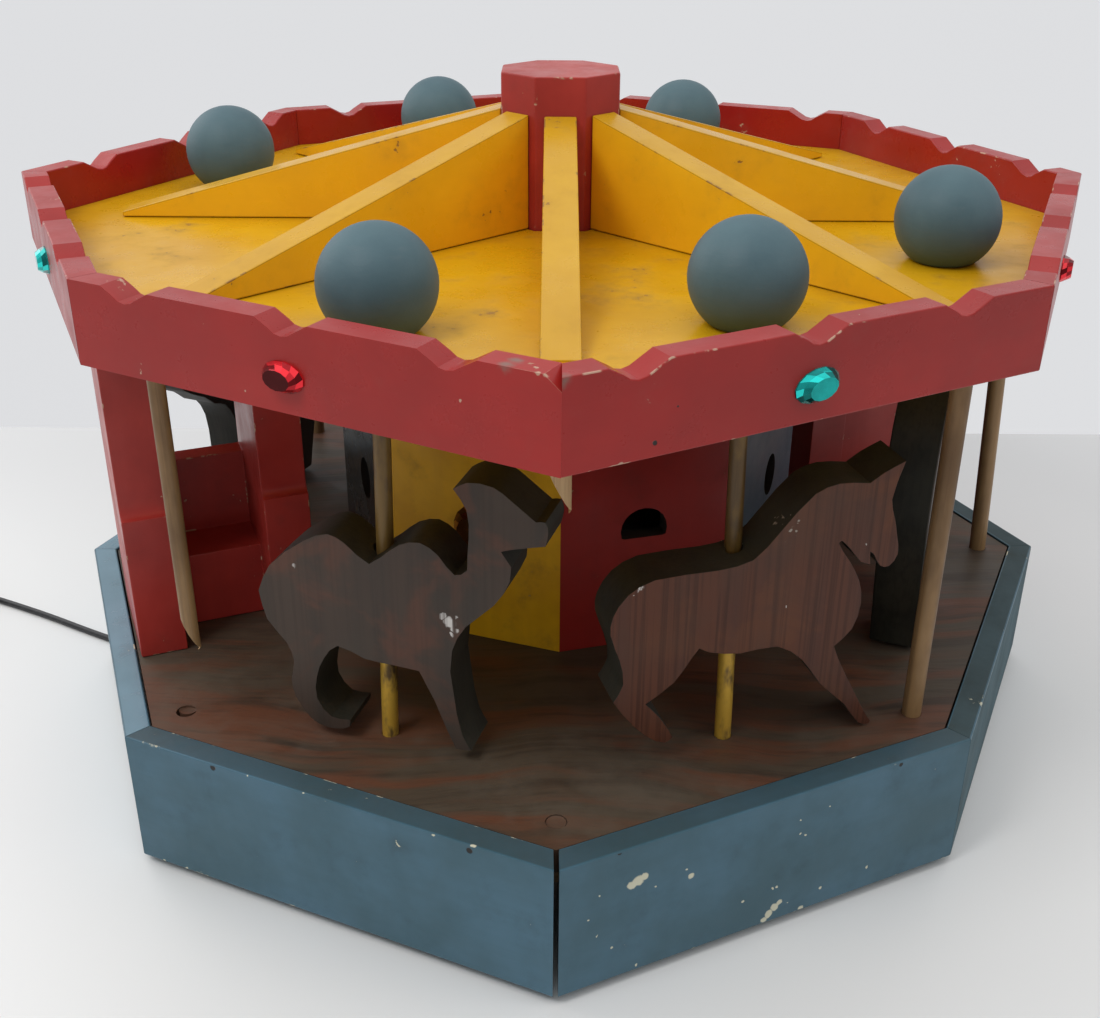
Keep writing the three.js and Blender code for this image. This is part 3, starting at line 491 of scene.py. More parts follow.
def painted_board(
    name, paint, shade, undercoat, roughness, wear=0.5, grime=0.3, soil_colour=(0.03, 0.026, 0.02),
    upward=None, chips=(), holes=(), smudges=(), rubbed=0.0, shine=0.36,
):
    """Brushed enamel over softwood: faint grain, brush lines, uneven colour, soil, and chips.

    upward is the colour and share of a darkening on faces that look up, partly dust and partly painted
    shade;
    chips, holes and smudges are marks at known places, and rubbed is how much of the paint is off, as on a
    worn edge."""
    finish = new_finish(name, roughness, Specular_IOR_Level=shine)
    grain = left_on(finish)
    lines = clouds(stretched(grain, (7, 130, 130)), 1, 4, 0.6)
    uneven = clouds(grain, 16, 4, 0.6)
    soil = clouds(stretched(grain, (1, 1, 1), (3, 1, 2)), 38, 6, 0.65)
    specks = clouds(grain, 330, 2, 0.5)
    colour = laid_over(paint, shade, uneven, 0.3, 0.7)
    colour = laid_over(colour, shade, lines, 0.35, 0.75, 0, 0.3)
    colour = laid_over(colour, soil_colour, soil, 0.52, 0.8, 0, grime)
    if smudges:
        colour = mixed(weighted(marks_on(grain, smudges, 5.0, 0.9), 0.7), colour, soil_colour)
    # Faces that look up are darkened: partly settled dust, partly painted shade.
    if upward:
        rise = left_on(finish, "rise", "Fac")
        top_dust_and_shade_colour, most_top_dust_and_shade = upward
        top_dust_and_shade = between(rise, 0.75, 0.95, 0, most_top_dust_and_shade)
        top_dust_and_shade = weighted(top_dust_and_shade, between(soil, 0.2, 0.6, 0.7, 1))
        colour = mixed(top_dust_and_shade, colour, top_dust_and_shade_colour)
    if rubbed:
        bare = between(weighted(specks, 0.25, soil), 0.74 - 0.2 * rubbed, 0.8 - 0.2 * rubbed)
    else:
        bare = between(weighted(specks, 0.5, soil), 0.98 - 0.06 * wear, 1.02 - 0.06 * wear)
    if chips:
        bare = greater(bare, marks_on(grain, chips))
    colour = mixed(bare, colour, undercoat)
    height = weighted(lines, 0.5, weighted(specks, 0.2))
    height = weighted(bare, -1.2, height)
    if holes:
        pit = marks_on(grain, holes, 1.0)
        colour = mixed(pit, colour, (0.012, 0.009, 0.008))
        height = weighted(pit, -3.0, height)
    into_shader("Base Color", colour)
    roughened(soil, roughness - 0.06, roughness + 0.16, 0.8)
    bumped(height, 0.3, 0.0006)
    return finish


# Chips and nail holes on the two front boards: board, place along it, height, radius. The last six
# chips are on the left one's edges.
skirt_chips = [
    (0, 36.5, 56.5, 2.6), (0, 39.5, 58, 3.0), (0, 43, 59.5, 2.2), (0, 109.5, 7.5, 1.9),
    (0, 112, 10, 2.3), (0, 115, 13.3, 2.4), (0, 117.5, 15.3, 1.7), (0, 49, 50.9, 0.74),
    (0, 67, 50.5, 1.7), (0, 64.5, 55.4, 0.62), (0, 21, 56.6, 0.56), (0, 15.4, 44.5, 0.56),
    (0, 20.1, 33.9, 0.56), (0, 27.8, 24.2, 0.81), (0, 40.6, 7.9, 0.62), (0, 96.5, 24.2, 0.87),
    (0, 112.6, 25.5, 0.74), (0, 115, 25.6, 0.62), (0, 122.2, 12.9, 0.5), (0, 130.9, 6.3, 1.7),
    (0, 141, 15, 0.87), (0, 125.2, 53.7, 0.74), (0, 128.7, 51.9, 0.68), (0, 124.8, 62.1, 0.5),
    (0, 140.8, 64.2, 0.62), (0, 168.4, 17.8, 0.87), (7, 168.8, 77.3, 0.93), (7, 188.2, 77.8, 1.08),
    (7, 102.2, 77.8, 0.81), (7, 71.2, 77.8, 0.62), (7, 13, 5.4, 0.96), (7, 26.7, 5.4, 0.96),
]
skirt_holes = [(7, 51.6, 75.8, 1.6), (7, 186.6, 74.6, 1.6), (0, 30, 77, 1.0), (0, 180, 76, 1.2)]
skirt_blue = ((0.062, 0.142, 0.2), (0.042, 0.1, 0.13), (0.6, 0.58, 0.44), 0.36)
# The top faces' darkening: dust, and painted shade under the roof.
skirt_top_dust_and_shade = ((0.045, 0.056, 0.053), 0.5)
blue_paint = painted_board(
    "blue_paint", *skirt_blue, 0.1, 0.3, upward=skirt_top_dust_and_shade, chips=skirt_chips, holes=skirt_holes,
)
# Paler paint on the left boards is a painted sheen; they also get a glossier finish.
blue_painted_sheen = painted_board(
    "blue_painted_sheen", (0.15, 0.27, 0.35), (0.11, 0.21, 0.27), skirt_blue[2], 0.2, 0.1, 0.3, shine=0.9,
)
blue_dull = painted_board(
    "blue_dull", (0.062, 0.12, 0.145), (0.045, 0.085, 0.1), skirt_blue[2], 0.75, 0.1, 0.6,
    (0.06, 0.06, 0.045), upward=skirt_top_dust_and_shade,
)
blue_edge = painted_board("blue_edge", *skirt_blue, 0.1, 0.3, chips=skirt_chips[-6:], rubbed=0.05)
skirt_corners = corner_places(skirt_reach, skirt_turn)


def mitred_at(start, end):
    """Tells a board's two mitred ends from its other faces."""
    near_end = 0.15
    length = (end - start).length
    along = (end - start).normalized()
    ends = [Vector((corner.y, -corner.x, 0)).normalized() for corner in (start, end)]

    def is_mitre(face):
        share = (face.center - start).dot(along) / length
        faces_along = max(abs(face.normal.dot(across)) for across in ends) > 0.97
        return (share < near_end or share > 1 - near_end) and faces_along
    return is_mitre


for i in range(sides):
    start, end = side_of(skirt_corners, i)
    board_face = blue_dull if i in dull_boards else blue_painted_sheen if i in painted_sheen_boards else blue_paint
    board = sawn_copy(f"skirt_board_{i + 1}", board_face, blue_edge)
    rounded(board, skirt_edge, 2, slot=1, glued=mitred_at(start, end))
    lay_grain(board, start, end - start, piece_number=i)
    finished(board, f"painted_skirt_{i + 1}", "skirt_paint", f"skirt_board_{i + 1}", smooth=30)

# The deck: a plywood floor stained dark brown, with the reddish wavy streaks of rotary-cut veneer,
# dusty and grey where nobody wipes it.
stained_ply = new_finish("stained_plywood", 0.5, Specular_IOR_Level=0.28)
ply_place = places_on(stained_ply)
ply_turn = (0, 0, 0.62)
ply_bend = put("ShaderNodeTexNoise", {"Vector": ply_place, "Scale": 7.0, "Detail": 2.0}).outputs["Color"]
ply_wavy = put("ShaderNodeVectorMath", {
    0: ply_bend, 1: (0.05, 0.05, 0), 2: ply_place,
}, operation="MULTIPLY_ADD").outputs["Vector"]
ply_figure = clouds(stretched(ply_wavy, (7, 44, 1), turn=ply_turn), 1, 3, 0.55, 0.6)
ply_streaks = clouds(stretched(ply_wavy, (10, 90, 1), (2, 5, 0), ply_turn), 1, 4, 0.6, 0.4)
ply_lines = clouds(stretched(ply_wavy, (30, 420, 1), turn=ply_turn), 1, 3, 0.6)
ply_dust = clouds(ply_place, 15, 5, 0.7)
ply_colour = laid_over((0.068, 0.05, 0.034), (0.118, 0.044, 0.023), ply_figure, 0.42, 0.62)
ply_colour = laid_over(ply_colour, (0.034, 0.023, 0.016), ply_streaks, 0.48, 0.68, 0, 0.75)
ply_colour = laid_over(ply_colour, (0.02, 0.013, 0.01), ply_lines, 0.5, 0.75, 0, 0.35)
ply_colour = laid_over(ply_colour, (0.115, 0.093, 0.068), ply_dust, 0.38, 0.72, 0.08, 0.6)
into_shader("Base Color", ply_colour)
roughened(ply_dust, 0.4, 0.68)
bumped(weighted(ply_streaks, 0.4, ply_lines), 0.3, 0.0005)
floor_board = sawn_copy("deck", stained_ply)
rounded(floor_board, 0.6 * mm, 1)
finished(floor_board, "stained_deck", "deck_stain", "deck", smooth=30)

# The hidden stand under the deck: a plywood disc and block, a caged ball ring, a gear motor
# with a rubber wheel, and a brass lamp socket on its pipe with a small clear globe bulb.
raw_ply = new_finish("raw_plywood", 0.75)
raw_place = places_on(raw_ply)
raw_lines = clouds(stretched(raw_place, (9, 150, 150)), 1, 5, 0.6)
raw_layers = put("ShaderNodeTexWave", {
    "Vector": raw_place, "Scale": 120.0, "Distortion": 0.3, "Detail": 1.0,
}, bands_direction="Z").outputs["Fac"]
raw_colour = laid_over((0.5, 0.34, 0.19), (0.33, 0.21, 0.11), raw_lines, 0.3, 0.7)
raw_colour = laid_over(raw_colour, (0.2, 0.12, 0.06), raw_layers, 0.3, 0.7, 0, 0.35)
into_shader("Base Color", raw_colour)
bumped(raw_lines, 0.25, 0.0005)
for node, edge in (("stand_plate", 1.0), ("race_block", 0.5)):
    plain = sawn_copy(node, raw_ply)
    rounded(plain, edge * mm, 2)
    finished(plain, f"plywood_{node}", "stand_plywood", node, smooth=30, body="stand")

bare_steel, steel_marks = mottled(
    "plated_steel", 0.33, (0.56, 0.57, 0.58), (0.36, 0.36, 0.35), (140, 5, 0.6), 0.35, 0.75, Metallic=1.0,
)
roughened(steel_marks, 0.26, 0.46)
dark_rubber, _ = mottled(
    "black_rubber", 0.78, (0.02, 0.02, 0.02), (0.05, 0.048, 0.045), (500, 3), 0.4, 0.7,
)
aged_brass, _ = mottled(
    "aged_brass", 0.34, (0.66, 0.5, 0.24), (0.34, 0.25, 0.13), (90, 5, 0.65), 0.35, 0.75, Metallic=1.0,
)
for node, finish, body, slot_name in (
    ("ball_ring", bare_steel, "ball_ring", "race_steel"),
    ("gear_motor", bare_steel, "stand", "motor_steel"),
    ("drive_wheel", dark_rubber, "drive_wheel", "wheel_rubber"),
    ("lamp_socket", aged_brass, "stand", "socket_brass"),
):
    metal = sawn_copy(node, finish)
    rounded(metal, 0.4 * mm, 2, 50)
    finished(metal, f"finished_{node}", slot_name, node, smooth=40, body=body)

clear_glass, _ = mottled(
    "bulb_glass", 0.04, (0.96, 0.94, 0.9), (0.88, 0.86, 0.82), (60, 3), 0.4, 0.7,
    IOR=1.45, Transmission_Weight=0.85,
)
bulb = sawn_copy("light_bulb", clear_glass)
finished(bulb, "glass_bulb", "bulb_glass", "light_bulb", smooth=40, body="stand")

# The drum: eight panels glued edge to edge, in four colours, each with an oval window sawn through.
# The front windows are fitted to the picture: panel, lowest part, widening, and shift along it.
drum_reach = [122.6, 134.9, 139.5, 133.6, 126, 126, 127.3, 127.3]
drum_turn = [0.7, 0, 0, 0, 0, 0, 0, 0]
drum_colours = {
    "red": ((0.36, 0.02, 0.014), (0.26, 0.014, 0.01), 0.4),
    "blue": ((0.085, 0.14, 0.195), (0.065, 0.105, 0.15), 0.4),
    "black": ((0.012, 0.012, 0.013), (0.022, 0.021, 0.02), 0.2),
    "yellow": ((0.8, 0.44, 0.008), (0.6, 0.3, 0.006), 0.4),
}
drum_floor = 0.0771
drum_finishes = []
for colour_name, (paint, shade, gloss) in drum_colours.items():
    panel_finish = painted_board(f"drum_{colour_name}", paint, shade, (0.3, 0.2, 0.1), gloss, 0.1, 0.4)
    drum_finishes.append(panel_finish)
# The windows' rims are painted near black: painted shade inside the openings.
painted_shade_rim = new_finish("window_rim_painted_shade", 0.8)
rim_shade_tone = clouds(places_on(painted_shade_rim), 180, 4)
into_shader("Base Color", mixed(rim_shade_tone, (0.008, 0.006, 0.005), (0.03, 0.018, 0.013)))
drum = sawn_copy("drum", *drum_finishes, painted_shade_rim)
drum_corners = corner_places(drum_reach, drum_turn)
window_height = 0.1428
window_half_width = 0.0105
window_half_height = 0.013
panel_depth = 0.02
window_lift = 0.002
window_fits = ((0, 0.0045, 0.28, -0.0035), (1, 0.02, 0.0, 0.008))
for side, lowest, widened, moved in window_fits:
    start, end = side_of(drum_corners, side)
    side_along = (end - start).normalized()
    side_middle = (start + end) / 2
    for vertex in drum.data.vertices:
        away = vertex.co - side_middle
        reach = away.dot(side_along)
        beside = abs(reach) < window_half_width and Vector(away.xy).length < panel_depth
        if beside and abs(vertex.co.z - window_height) < window_half_height:
            vertex.co.z = max(vertex.co.z, window_height - lowest) + window_lift
            vertex.co += side_along * (widened * reach + moved)
rounded(drum, 0.5 * mm, 2, 30)
lay_grain(drum, (0, 0, drum_floor), upright, to_front)
finished(drum, "painted_drum", "drum_paint", "drum", smooth=20)
for face in drum.data.polygons:
    turn = math.atan2(face.center.x, -face.center.y) % (2 * math.pi)
    side = int(turn // (2 * math.pi / sides))
    start, end = side_of(drum_corners, side)
    outwards = (end - start).normalized().cross(upright)
    at_window = abs(face.center.z - window_height) < window_half_height + 0.5 * mm
    is_rim = at_window and abs(face.normal.dot(outwards)) < 0.3
    face.material_index = len(drum_finishes) if is_rim else side % len(drum_finishes)

# The support dowels: bare hardwood rods browned by age and handling. The one at the left corner is
# broken off in a long splinter near the deck, the front one under the roof, where the break is pale.
# The feet of both are still in their holes, and the left one is a little thinner than the others.
bare_dowel = new_finish("dowel_wood", 0.42, Specular_IOR_Level=0.3)
dowel_place = left_on(bare_dowel)
dowel_lines = clouds(stretched(dowel_place, (5, 320, 320)), 1, 5, 0.65)
dowel_tone = clouds(stretched(dowel_place, (14, 50, 50)), 1, 4, 0.6)
dowel_colour = laid_over((0.3, 0.18, 0.08), (0.15, 0.085, 0.04), dowel_tone, 0.3, 0.72)
dowel_colour = laid_over(dowel_colour, (0.075, 0.04, 0.02), dowel_lines, 0.45, 0.75, 0, 0.55)
into_shader("Base Color", dowel_colour)
roughened(dowel_tone, 0.34, 0.55)
bumped(dowel_lines, 0.25, 0.0004)
fresh_break = new_finish("fresh_break", 0.7)
break_lines = clouds(stretched(left_on(fresh_break), (12, 500, 500)), 1, 5, 0.7)
into_shader("Base Color", laid_over((0.56, 0.38, 0.2), (0.36, 0.22, 0.1), break_lines, 0.3, 0.7))
bumped(break_lines, 0.8, 0.0012)
dowel_lathe = 24
dowel_radius = 4.75 * mm
front_dowel, left_dowel = 0, 7
left_thinning = 0.16
left_hole = Vector((-184, -176, 0)) * mm
foot_bottom, foot_top, foot_radius = 69 * mm, 76.3 * mm, 4.6 * mm


def end_middles(node):
    """The middles of a rod's lowest and highest rings of points."""
    points = {tuple(round(c, 6) for c in v.co) for v in frame["nodes"][node].data.vertices}
    ends = []
    for level in (min(p[2] for p in points), max(p[2] for p in points)):
        ring = [Vector(p) for p in points if abs(p[2] - level) < 1.2 * mm]
        ends.append(sum(ring, Vector()) / len(ring))
    return ends


def rod_between(foot, head, radius):
    """A straight rod between two points, whichever way it leans."""
    run = head - foot
    return new_mesh(
        bpy.ops.mesh.primitive_cylinder_add, vertices=dowel_lathe, radius=radius, depth=run.length,
        location=(foot + head) / 2, rotation=run.to_track_quat("Z", "Y").to_euler(),
    )


for i in range(sides):
    node = f"support_dowel_{i + 1}"
    low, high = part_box(node)
    middle = Vector(((low.x + high.x) / 2, (low.y + high.y) / 2, 0))
    foot, head = end_middles(node)
    is_broken = i in (front_dowel, left_dowel)
    if is_broken:
        dowel = sawn_copy(node, bare_dowel, fresh_break)
        rounded(dowel, 0.25 * mm, 1, 50)
    else:
        dowel = rod_between(foot, head, dowel_radius)
        rounded(dowel, 0.5 * mm, 2, 60)
        coat(dowel, bare_dowel)
    if i == left_dowel:
        lean = (head - foot).normalized()
        for vertex in dowel.data.vertices:
            away = vertex.co - head
            vertex.co -= (away - lean * away.dot(lean)) * left_thinning
    finished(dowel, f"bare_dowel_{i + 1}", "dowel_wood", node, smooth=40)
    lay_grain(dowel, (middle.x, middle.y, 0.1 * i), upright, to_front)
    if is_broken:
        for face in dowel.data.polygons:
            is_torn = abs(face.normal.z) > 0.3 and face.center.z < high.z - 10 * mm
            face.material_index = int(i == front_dowel or is_torn)
        hole = middle if i == front_dowel else left_hole
        broken_foot = rod_between(hole + upright * foot_bottom, hole + upright * foot_top, foot_radius)
        choose_faces(broken_foot, lambda face: face.normal.z > 0.9)
        bpy.ops.mesh.inset(thickness=1.8 * mm, depth=-0.7 * mm)
        to_mode("OBJECT")
        finished(broken_foot, f"broken_foot_{i + 1}", "dowel_wood", smooth=40)
        lay_grain(broken_foot, hole, upright, to_front)
        coat(broken_foot, stained_ply)

# The animals: silhouettes band-sawn from one-inch plank, eased by hand and stained dark brown. The
# fine upright grain shows reddish on the faces, and the sawn edges drank the stain and are near black.
def stained_wood(name, stain, streak, dull, gloss, lined, patchy, marks=()):
    """Dark stain over upright grain: fine lines, broad bands, a dull bloom and small worn places."""
    finish = new_finish(name, gloss, Specular_IOR_Level=0.25)
    grain = left_on(finish)
    lines = clouds(stretched(grain, (7, 560, 560)), 1, 3, 0.55)
    bands = clouds(stretched(grain, (2.5, 60, 60)), 1, 3, 0.5)
    patches = clouds(grain, 26, 4, 0.6, 0.4)
    bloom = clouds(grain, 14, 4, 0.6)
    specks = clouds(grain, 420, 2, 0.5)
    colour = laid_over(stain, streak, bands, 0.4, 0.62)
    patch_colour, most_patchy = patchy
    colour = laid_over(colour, patch_colour, patches, 0.5, 0.64, 0, most_patchy)
    dark = tuple(0.3 * c for c in stain)
    colour = laid_over(colour, dark, lines, 0.45, 0.66, 0, lined)
    colour = laid_over(colour, dull, bloom, 0.42, 0.72, 0, 0.5)
    worn = weighted(specks, 0.5, bloom)
    colour = laid_over(colour, (0.3, 0.26, 0.22), worn, 1.05, 1.08)
    if marks:
        scuffed = weighted(marks_on(grain, marks, 4.0), between(lines, 0.6, 0.4))
        colour = mixed(scuffed, colour, (0.6, 0.57, 0.54))
    into_shader("Base Color", colour)
    roughened(bloom, gloss - 0.05, gloss + 0.12)
    bumped(lines, 0.22, 0.0004)
    return finish


# Scuffs: number of the animal, height above the deck, place along it from its pole, radius
camel_scuffs = [
    (5, 76.2, 37.8, 3.0), (5, 79, 34, 1.8), (5, 73, 40, 1.8), (5, 70, 38.5, 1.3), (5, 79.5, 40.5, 1.2),
    (5, 92.8, -37.2, 0.9),
]
horse_scuffs = [
    (0, 94.6, -51.5, 0.9), (0, 95.8, -49.8, 1.1), (0, 96.6, -48, 0.9), (0, 93, -53, 0.7),
    (0, 103.6, 58.1, 0.7), (0, 75.4, 21.3, 0.6),
]
sawn_edge = stained_wood(
    "sawn_edge", (0.022, 0.021, 0.015), (0.03, 0.026, 0.018), (0.055, 0.055, 0.042), 0.5, 0.3,
    ((0.012, 0.011, 0.009), 0.5),
)
horse_stain = stained_wood(
    "horse_stain", (0.105, 0.034, 0.017), (0.08, 0.03, 0.019), (0.084, 0.046, 0.032), 0.42, 0.55,
    ((0.14, 0.046, 0.018), 0.5), horse_scuffs,
)
camel_stain = stained_wood(
    "camel_stain", (0.06, 0.04, 0.03), (0.045, 0.034, 0.027), (0.075, 0.062, 0.05), 0.42, 0.15,
    ((0.105, 0.044, 0.028), 0.75), camel_scuffs,
)
elephant_stain = stained_wood(
    "elephant_stain", (0.045, 0.03, 0.022), (0.034, 0.025, 0.019), (0.06, 0.052, 0.042), 0.45, 0.5,
    ((0.07, 0.034, 0.022), 0.5),
)
# Each animal's heading in degrees, with what it's turned off the regular one, and its stain
animal_turns = {
    "horse_1": (22.5 - 7, horse_stain), "elephant_1": (67.5, elephant_stain),
    "camel_2": (157.5 + 3, camel_stain), "horse_2": (-157.5, horse_stain),
    "elephant_2": (-112.5, elephant_stain), "camel_1": (-22.5 + 6, camel_stain),
}
half_plank = 12 * mm
deck_top = 76.8 * mm
# How the front camel is fitted to the picture, in millimetres and shares
neck_from, chest_height, head_drawn_in, head_lowered = 35, 110, 0.14, 0.06
feet_height, feet_forward, feet_raised = 45, 6, 3.2


def heading_at(turn):
    return Vector((math.cos(math.radians(turn)), math.sin(math.radians(turn)), 0))


def fit_camel(camel, beside_pole, heading):
    """Draws the head in and lowers it, and moves the feet forward and up."""
    for vertex in camel.data.vertices:
        forward = (vertex.co - beside_pole).dot(heading) - neck_from * mm
        raised = vertex.co.z - deck_top - chest_height * mm
        if forward > 0 and raised > 0:
            vertex.co -= heading * head_drawn_in * forward + Vector((0, 0, head_lowered * raised))
        low_down = max(0, 1 - (vertex.co.z - deck_top) / (feet_height * mm))
        if forward > -neck_from * mm:
            vertex.co += heading * feet_forward * mm * low_down
        vertex.co.z += feet_raised * mm * low_down


for number, (name, (turn, stain)) in enumerate(animal_turns.items()):
    heading = heading_at(turn)
    outwards = Vector((heading.y, -heading.x, 0))
    beside_pole = end_middles(f"finial_pole_{number + 1}")[0] + outwards * half_plank
    beside_pole.z = deck_top
    cut_out = sawn_copy(name, stain, sawn_edge)
    if name == "camel_1":
        fit_camel(cut_out, beside_pole, heading)
    for face in cut_out.data.polygons:
        face.material_index = int(abs(face.normal.dot(outwards)) < 0.7)
    rounded(cut_out, 1.6 * mm, 3, 50)
    lay_grain(cut_out, beside_pole, upright, heading, piece_number=number)
    finished(cut_out, f"stained_{name}", "animal_stain", name, smooth=35)

# The benches: red painted plank sides with a back, a seat and a riser glued between them.
bench_red = ((0.41, 0.036, 0.027), (0.3, 0.023, 0.018), (0.45, 0.3, 0.2), 0.34)
red_paint = painted_board("red_paint", *bench_red, 0.3, 0.3)
red_edge = painted_board("red_edge", *bench_red, 0.3, 0.3, rubbed=0.2)
bench_turns = (112.5, -67.5)
for i, turn in enumerate(bench_turns):
    bench = sawn_copy(f"bench_{i + 1}", red_paint, red_edge)
    rounded(bench, 1.0 * mm, 2, 50, slot=1)
    lay_grain(bench, (0, 0, 0), upright, heading_at(turn), piece_number=i)
    finished(bench, f"painted_bench_{i + 1}", "bench_paint", f"bench_{i + 1}", smooth=35)

# The roof: a yellow painted panel let in between the fascia boards, with a red hub on its middle and
# eight tapered ribs on edge. The ribs' sides are painted paler than their tops, as painted light, and the
# front one's top is spotted.
roof_yellow = ((0.62, 0.34, 0.005), (0.54, 0.28, 0.004), (0.3, 0.15, 0.03), 0.3)
yellow_roof = painted_board("yellow_roof", *roof_yellow, 0.35, 0.55, soil_colour=(0.2, 0.12, 0.03))
roof = sawn_copy("roof_panel", yellow_roof)
rounded(roof, 0.5 * mm, 1)
lay_grain(roof, (0, 0, 0), (1, 0, 0))
finished(roof, "painted_roof", "roof_paint", "roof_panel", smooth=30)

rib_yellow = ((0.6, 0.33, 0.005), (0.52, 0.27, 0.004), (0.3, 0.15, 0.03), 0.3)
# The ribs' line in millimetres: where it starts, how long it is, its height there and how far it falls
rib_root, rib_run, rib_top, rib_fall = 45, 223, 359.5, 72.5
rib_grain_level = 200
spot_depth = 1
rib_spots = []
for along, radius, across in (
    (70, 2.4, 1), (92, 3.0, -2), (100, 2.2, 2), (128, 2.4, -3),
    (150, 2.8, 1), (171, 2.0, -1), (205, 2.6, 3),
):
    rib_level = rib_top - rib_grain_level - rib_fall * (along - rib_root) / rib_run - spot_depth
    rib_spots.append((0, along, rib_level, radius, across))
rib_soil = (0.28, 0.15, 0.03)
# The ribs' sides get a paler yellow than their tops: painted light, standing in for the light that reaches
# them from the sides.
rib_side_painted_light = painted_board(
    "yellow_rib_painted_light", (0.86, 0.47, 0.012), (0.76, 0.4, 0.01), *rib_yellow[2:], 0.1, 0.2,
)
rib_top_paint = painted_board("rib_top", *rib_yellow, 0.1, 0.3, rib_soil, smudges=rib_spots)
rib_edge_paint = painted_board("rib_edge", *rib_yellow, 0.3, 0.4, rib_soil, rubbed=0.12)
for i, corner in enumerate(lamp_corners):
    rib = sawn_copy(f"roof_rib_{i + 1}", rib_side_painted_light, rib_edge_paint, rib_top_paint)
    rounded(rib, 0.7 * mm, 2, slot=1)
    for face in rib.data.polygons:
        if face.normal.z > 0.9:
            face.material_index = 2
    rib_start = (0, 0, rib_grain_level * mm)
    lay_grain(rib, rib_start, (math.sin(corner), -math.cos(corner), 0), piece_number=i)
    finished(rib, f"painted_rib_{i + 1}", "rib_paint", f"roof_rib_{i + 1}", smooth=30)

hub = sawn_copy("hub", red_paint, red_edge)
rounded(hub, 1.0 * mm, 2, 30, slot=1)
lay_grain(hub, (0, 0, 0), upright, to_front, piece_number=3)
finished(hub, "painted_hub", "hub_paint", "hub", smooth=30)

# The fascia: eight mitred boards with three scooped notches each, red, the paint rubbed off along
# the sharp edges and knocked off the front corner. The plain solid's own stone makes way for a
# faceted oval one, teal or ruby by turns. An amber one is on the drum's front window to the left.
roof_reach = [309.5, 283.5, 287.7, 282.7, 284.5, 275.1, 291.9, 283.9]
roof_turn = [0, 0, 2.4, 0, 0, -2.4, 0.2, 0]
fascia_floor = 0.2675
fascia_red = ((0.34, 0.013, 0.01), (0.27, 0.011, 0.009), (0.46, 0.27, 0.19), 0.3)
fascia_chips = [(7, 219, 37.2, 1.3), (7, 222.5, 36.6, 1.4), (0, 24, 0.2, 1.1), (7, 188.3, 21.2, 0.7)]
fascia_edge_chips = [
    (7, 213, 37.4, 4), (7, 221, 37.4, 5), (0, 11.5, 37.4, 4), (0, 23.5, 0.2, 4.5), (7, 226, 33, 4),
]
fascia_marks = [(0, 37.9, 5.7, 1.1), (0, 47, 18, 0.5)]
fascia_smudges = [(7, 206, 38, 3.2, 2), (7, 207, 37, 3.0, 7), (7, 229, 36, 2.6, 1), (0, 1, 36, 2.6, 1)]
fascia_soil = (0.16, 0.15, 0.12)
red_fascia = painted_board(
    "red_fascia", *fascia_red, 0.2, 0.1, fascia_soil,
    chips=fascia_chips, holes=fascia_marks, smudges=fascia_smudges,
)
fascia_edge = painted_board(
    "fascia_edge", *fascia_red, 0.2, 0.1, fascia_soil,
    chips=fascia_edge_chips, smudges=fascia_smudges, rubbed=0.2,
)
front_boards = (0, 7)
seam_width, seam_opening = 0.35 * mm, 0.14 * mm
stone_colours = {
    "teal": (0.0, 0.42, 0.39), "ruby": (0.62, 0.01, 0.02),
    "deep_ruby": (0.2, 0.002, 0.004), "amber": (0.22, 0.07, 0.008),
}
stone_finishes = {}
for stone_name, tint in stone_colours.items():
    stone_finish = new_finish(f"{stone_name}_stone", 0.1, IOR=1.5, Metallic=0.75)
    # Each facet gets a fixed painted brightness between a dark and a lit tone of the stone's colour:
    # painted glints and dark reflections.
    facet = left_on(stone_finish, "facet", "Fac")
    inner = clouds(places_on(stone_finish), 260, 2)
    tone = weighted(facet, 0.8, weighted(inner, 0.2))
    painted_dark_facet = tuple(0.25 * c for c in tint)
    painted_lit_facet = tuple(min(1.0, 1.5 * c + 0.02) for c in tint)
    into_shader("Base Color", laid_over(painted_dark_facet, painted_lit_facet, tone, 0.15, 0.8))
    stone_finishes[stone_name] = stone_finish
stone_facets = 14
glint_step = 0.618
girdle = 0.16
facet_rings = ((0.42, 0.84), (0.42, 0.76))
# The two kinds of stone, in millimetres: width, height, depth, tilt, and the finish of facets and table
# The ruby's table facet has its own darker finish, a painted dark reflection.
stone_kinds = ((20.6, 13.6, 5.2, 0.2, "teal", "teal"), (19.6, 12.8, 5.2, -0.06, "ruby", "deep_ruby"))
# Where a stone sits: its share of the way along the board, its height and the glue behind it
stone_along, stone_level, glue_line = 0.478, 282.5, 0.2
amber_size = (22 * mm, 27 * mm, 6.5 * mm)


def cut_stone(width, tall, rise):
    """A flat-backed oval stone: a girdle, two rings of facets and a flat table."""
    stone = new_mesh(
        bpy.ops.mesh.primitive_cylinder_add,
        vertices=stone_facets, radius=0.5, depth=girdle, location=(0, 0, girdle / 2),
    )
    for lift, share in facet_rings:
        choose_end(stone, 2)
        bpy.ops.mesh.extrude_region_move(TRANSFORM_OT_translate={"value": (0, 0, lift)})
        bpy.ops.transform.resize(value=(share, share, 1))
        bpy.ops.transform.rotate(value=math.pi / stone_facets, orient_axis="Z", center_override=(0, 0, 0))
        to_mode("OBJECT")
    stone.scale = (width, tall, rise)
    bpy.ops.object.transform_apply(location=False, rotation=False, scale=True)
    return stone


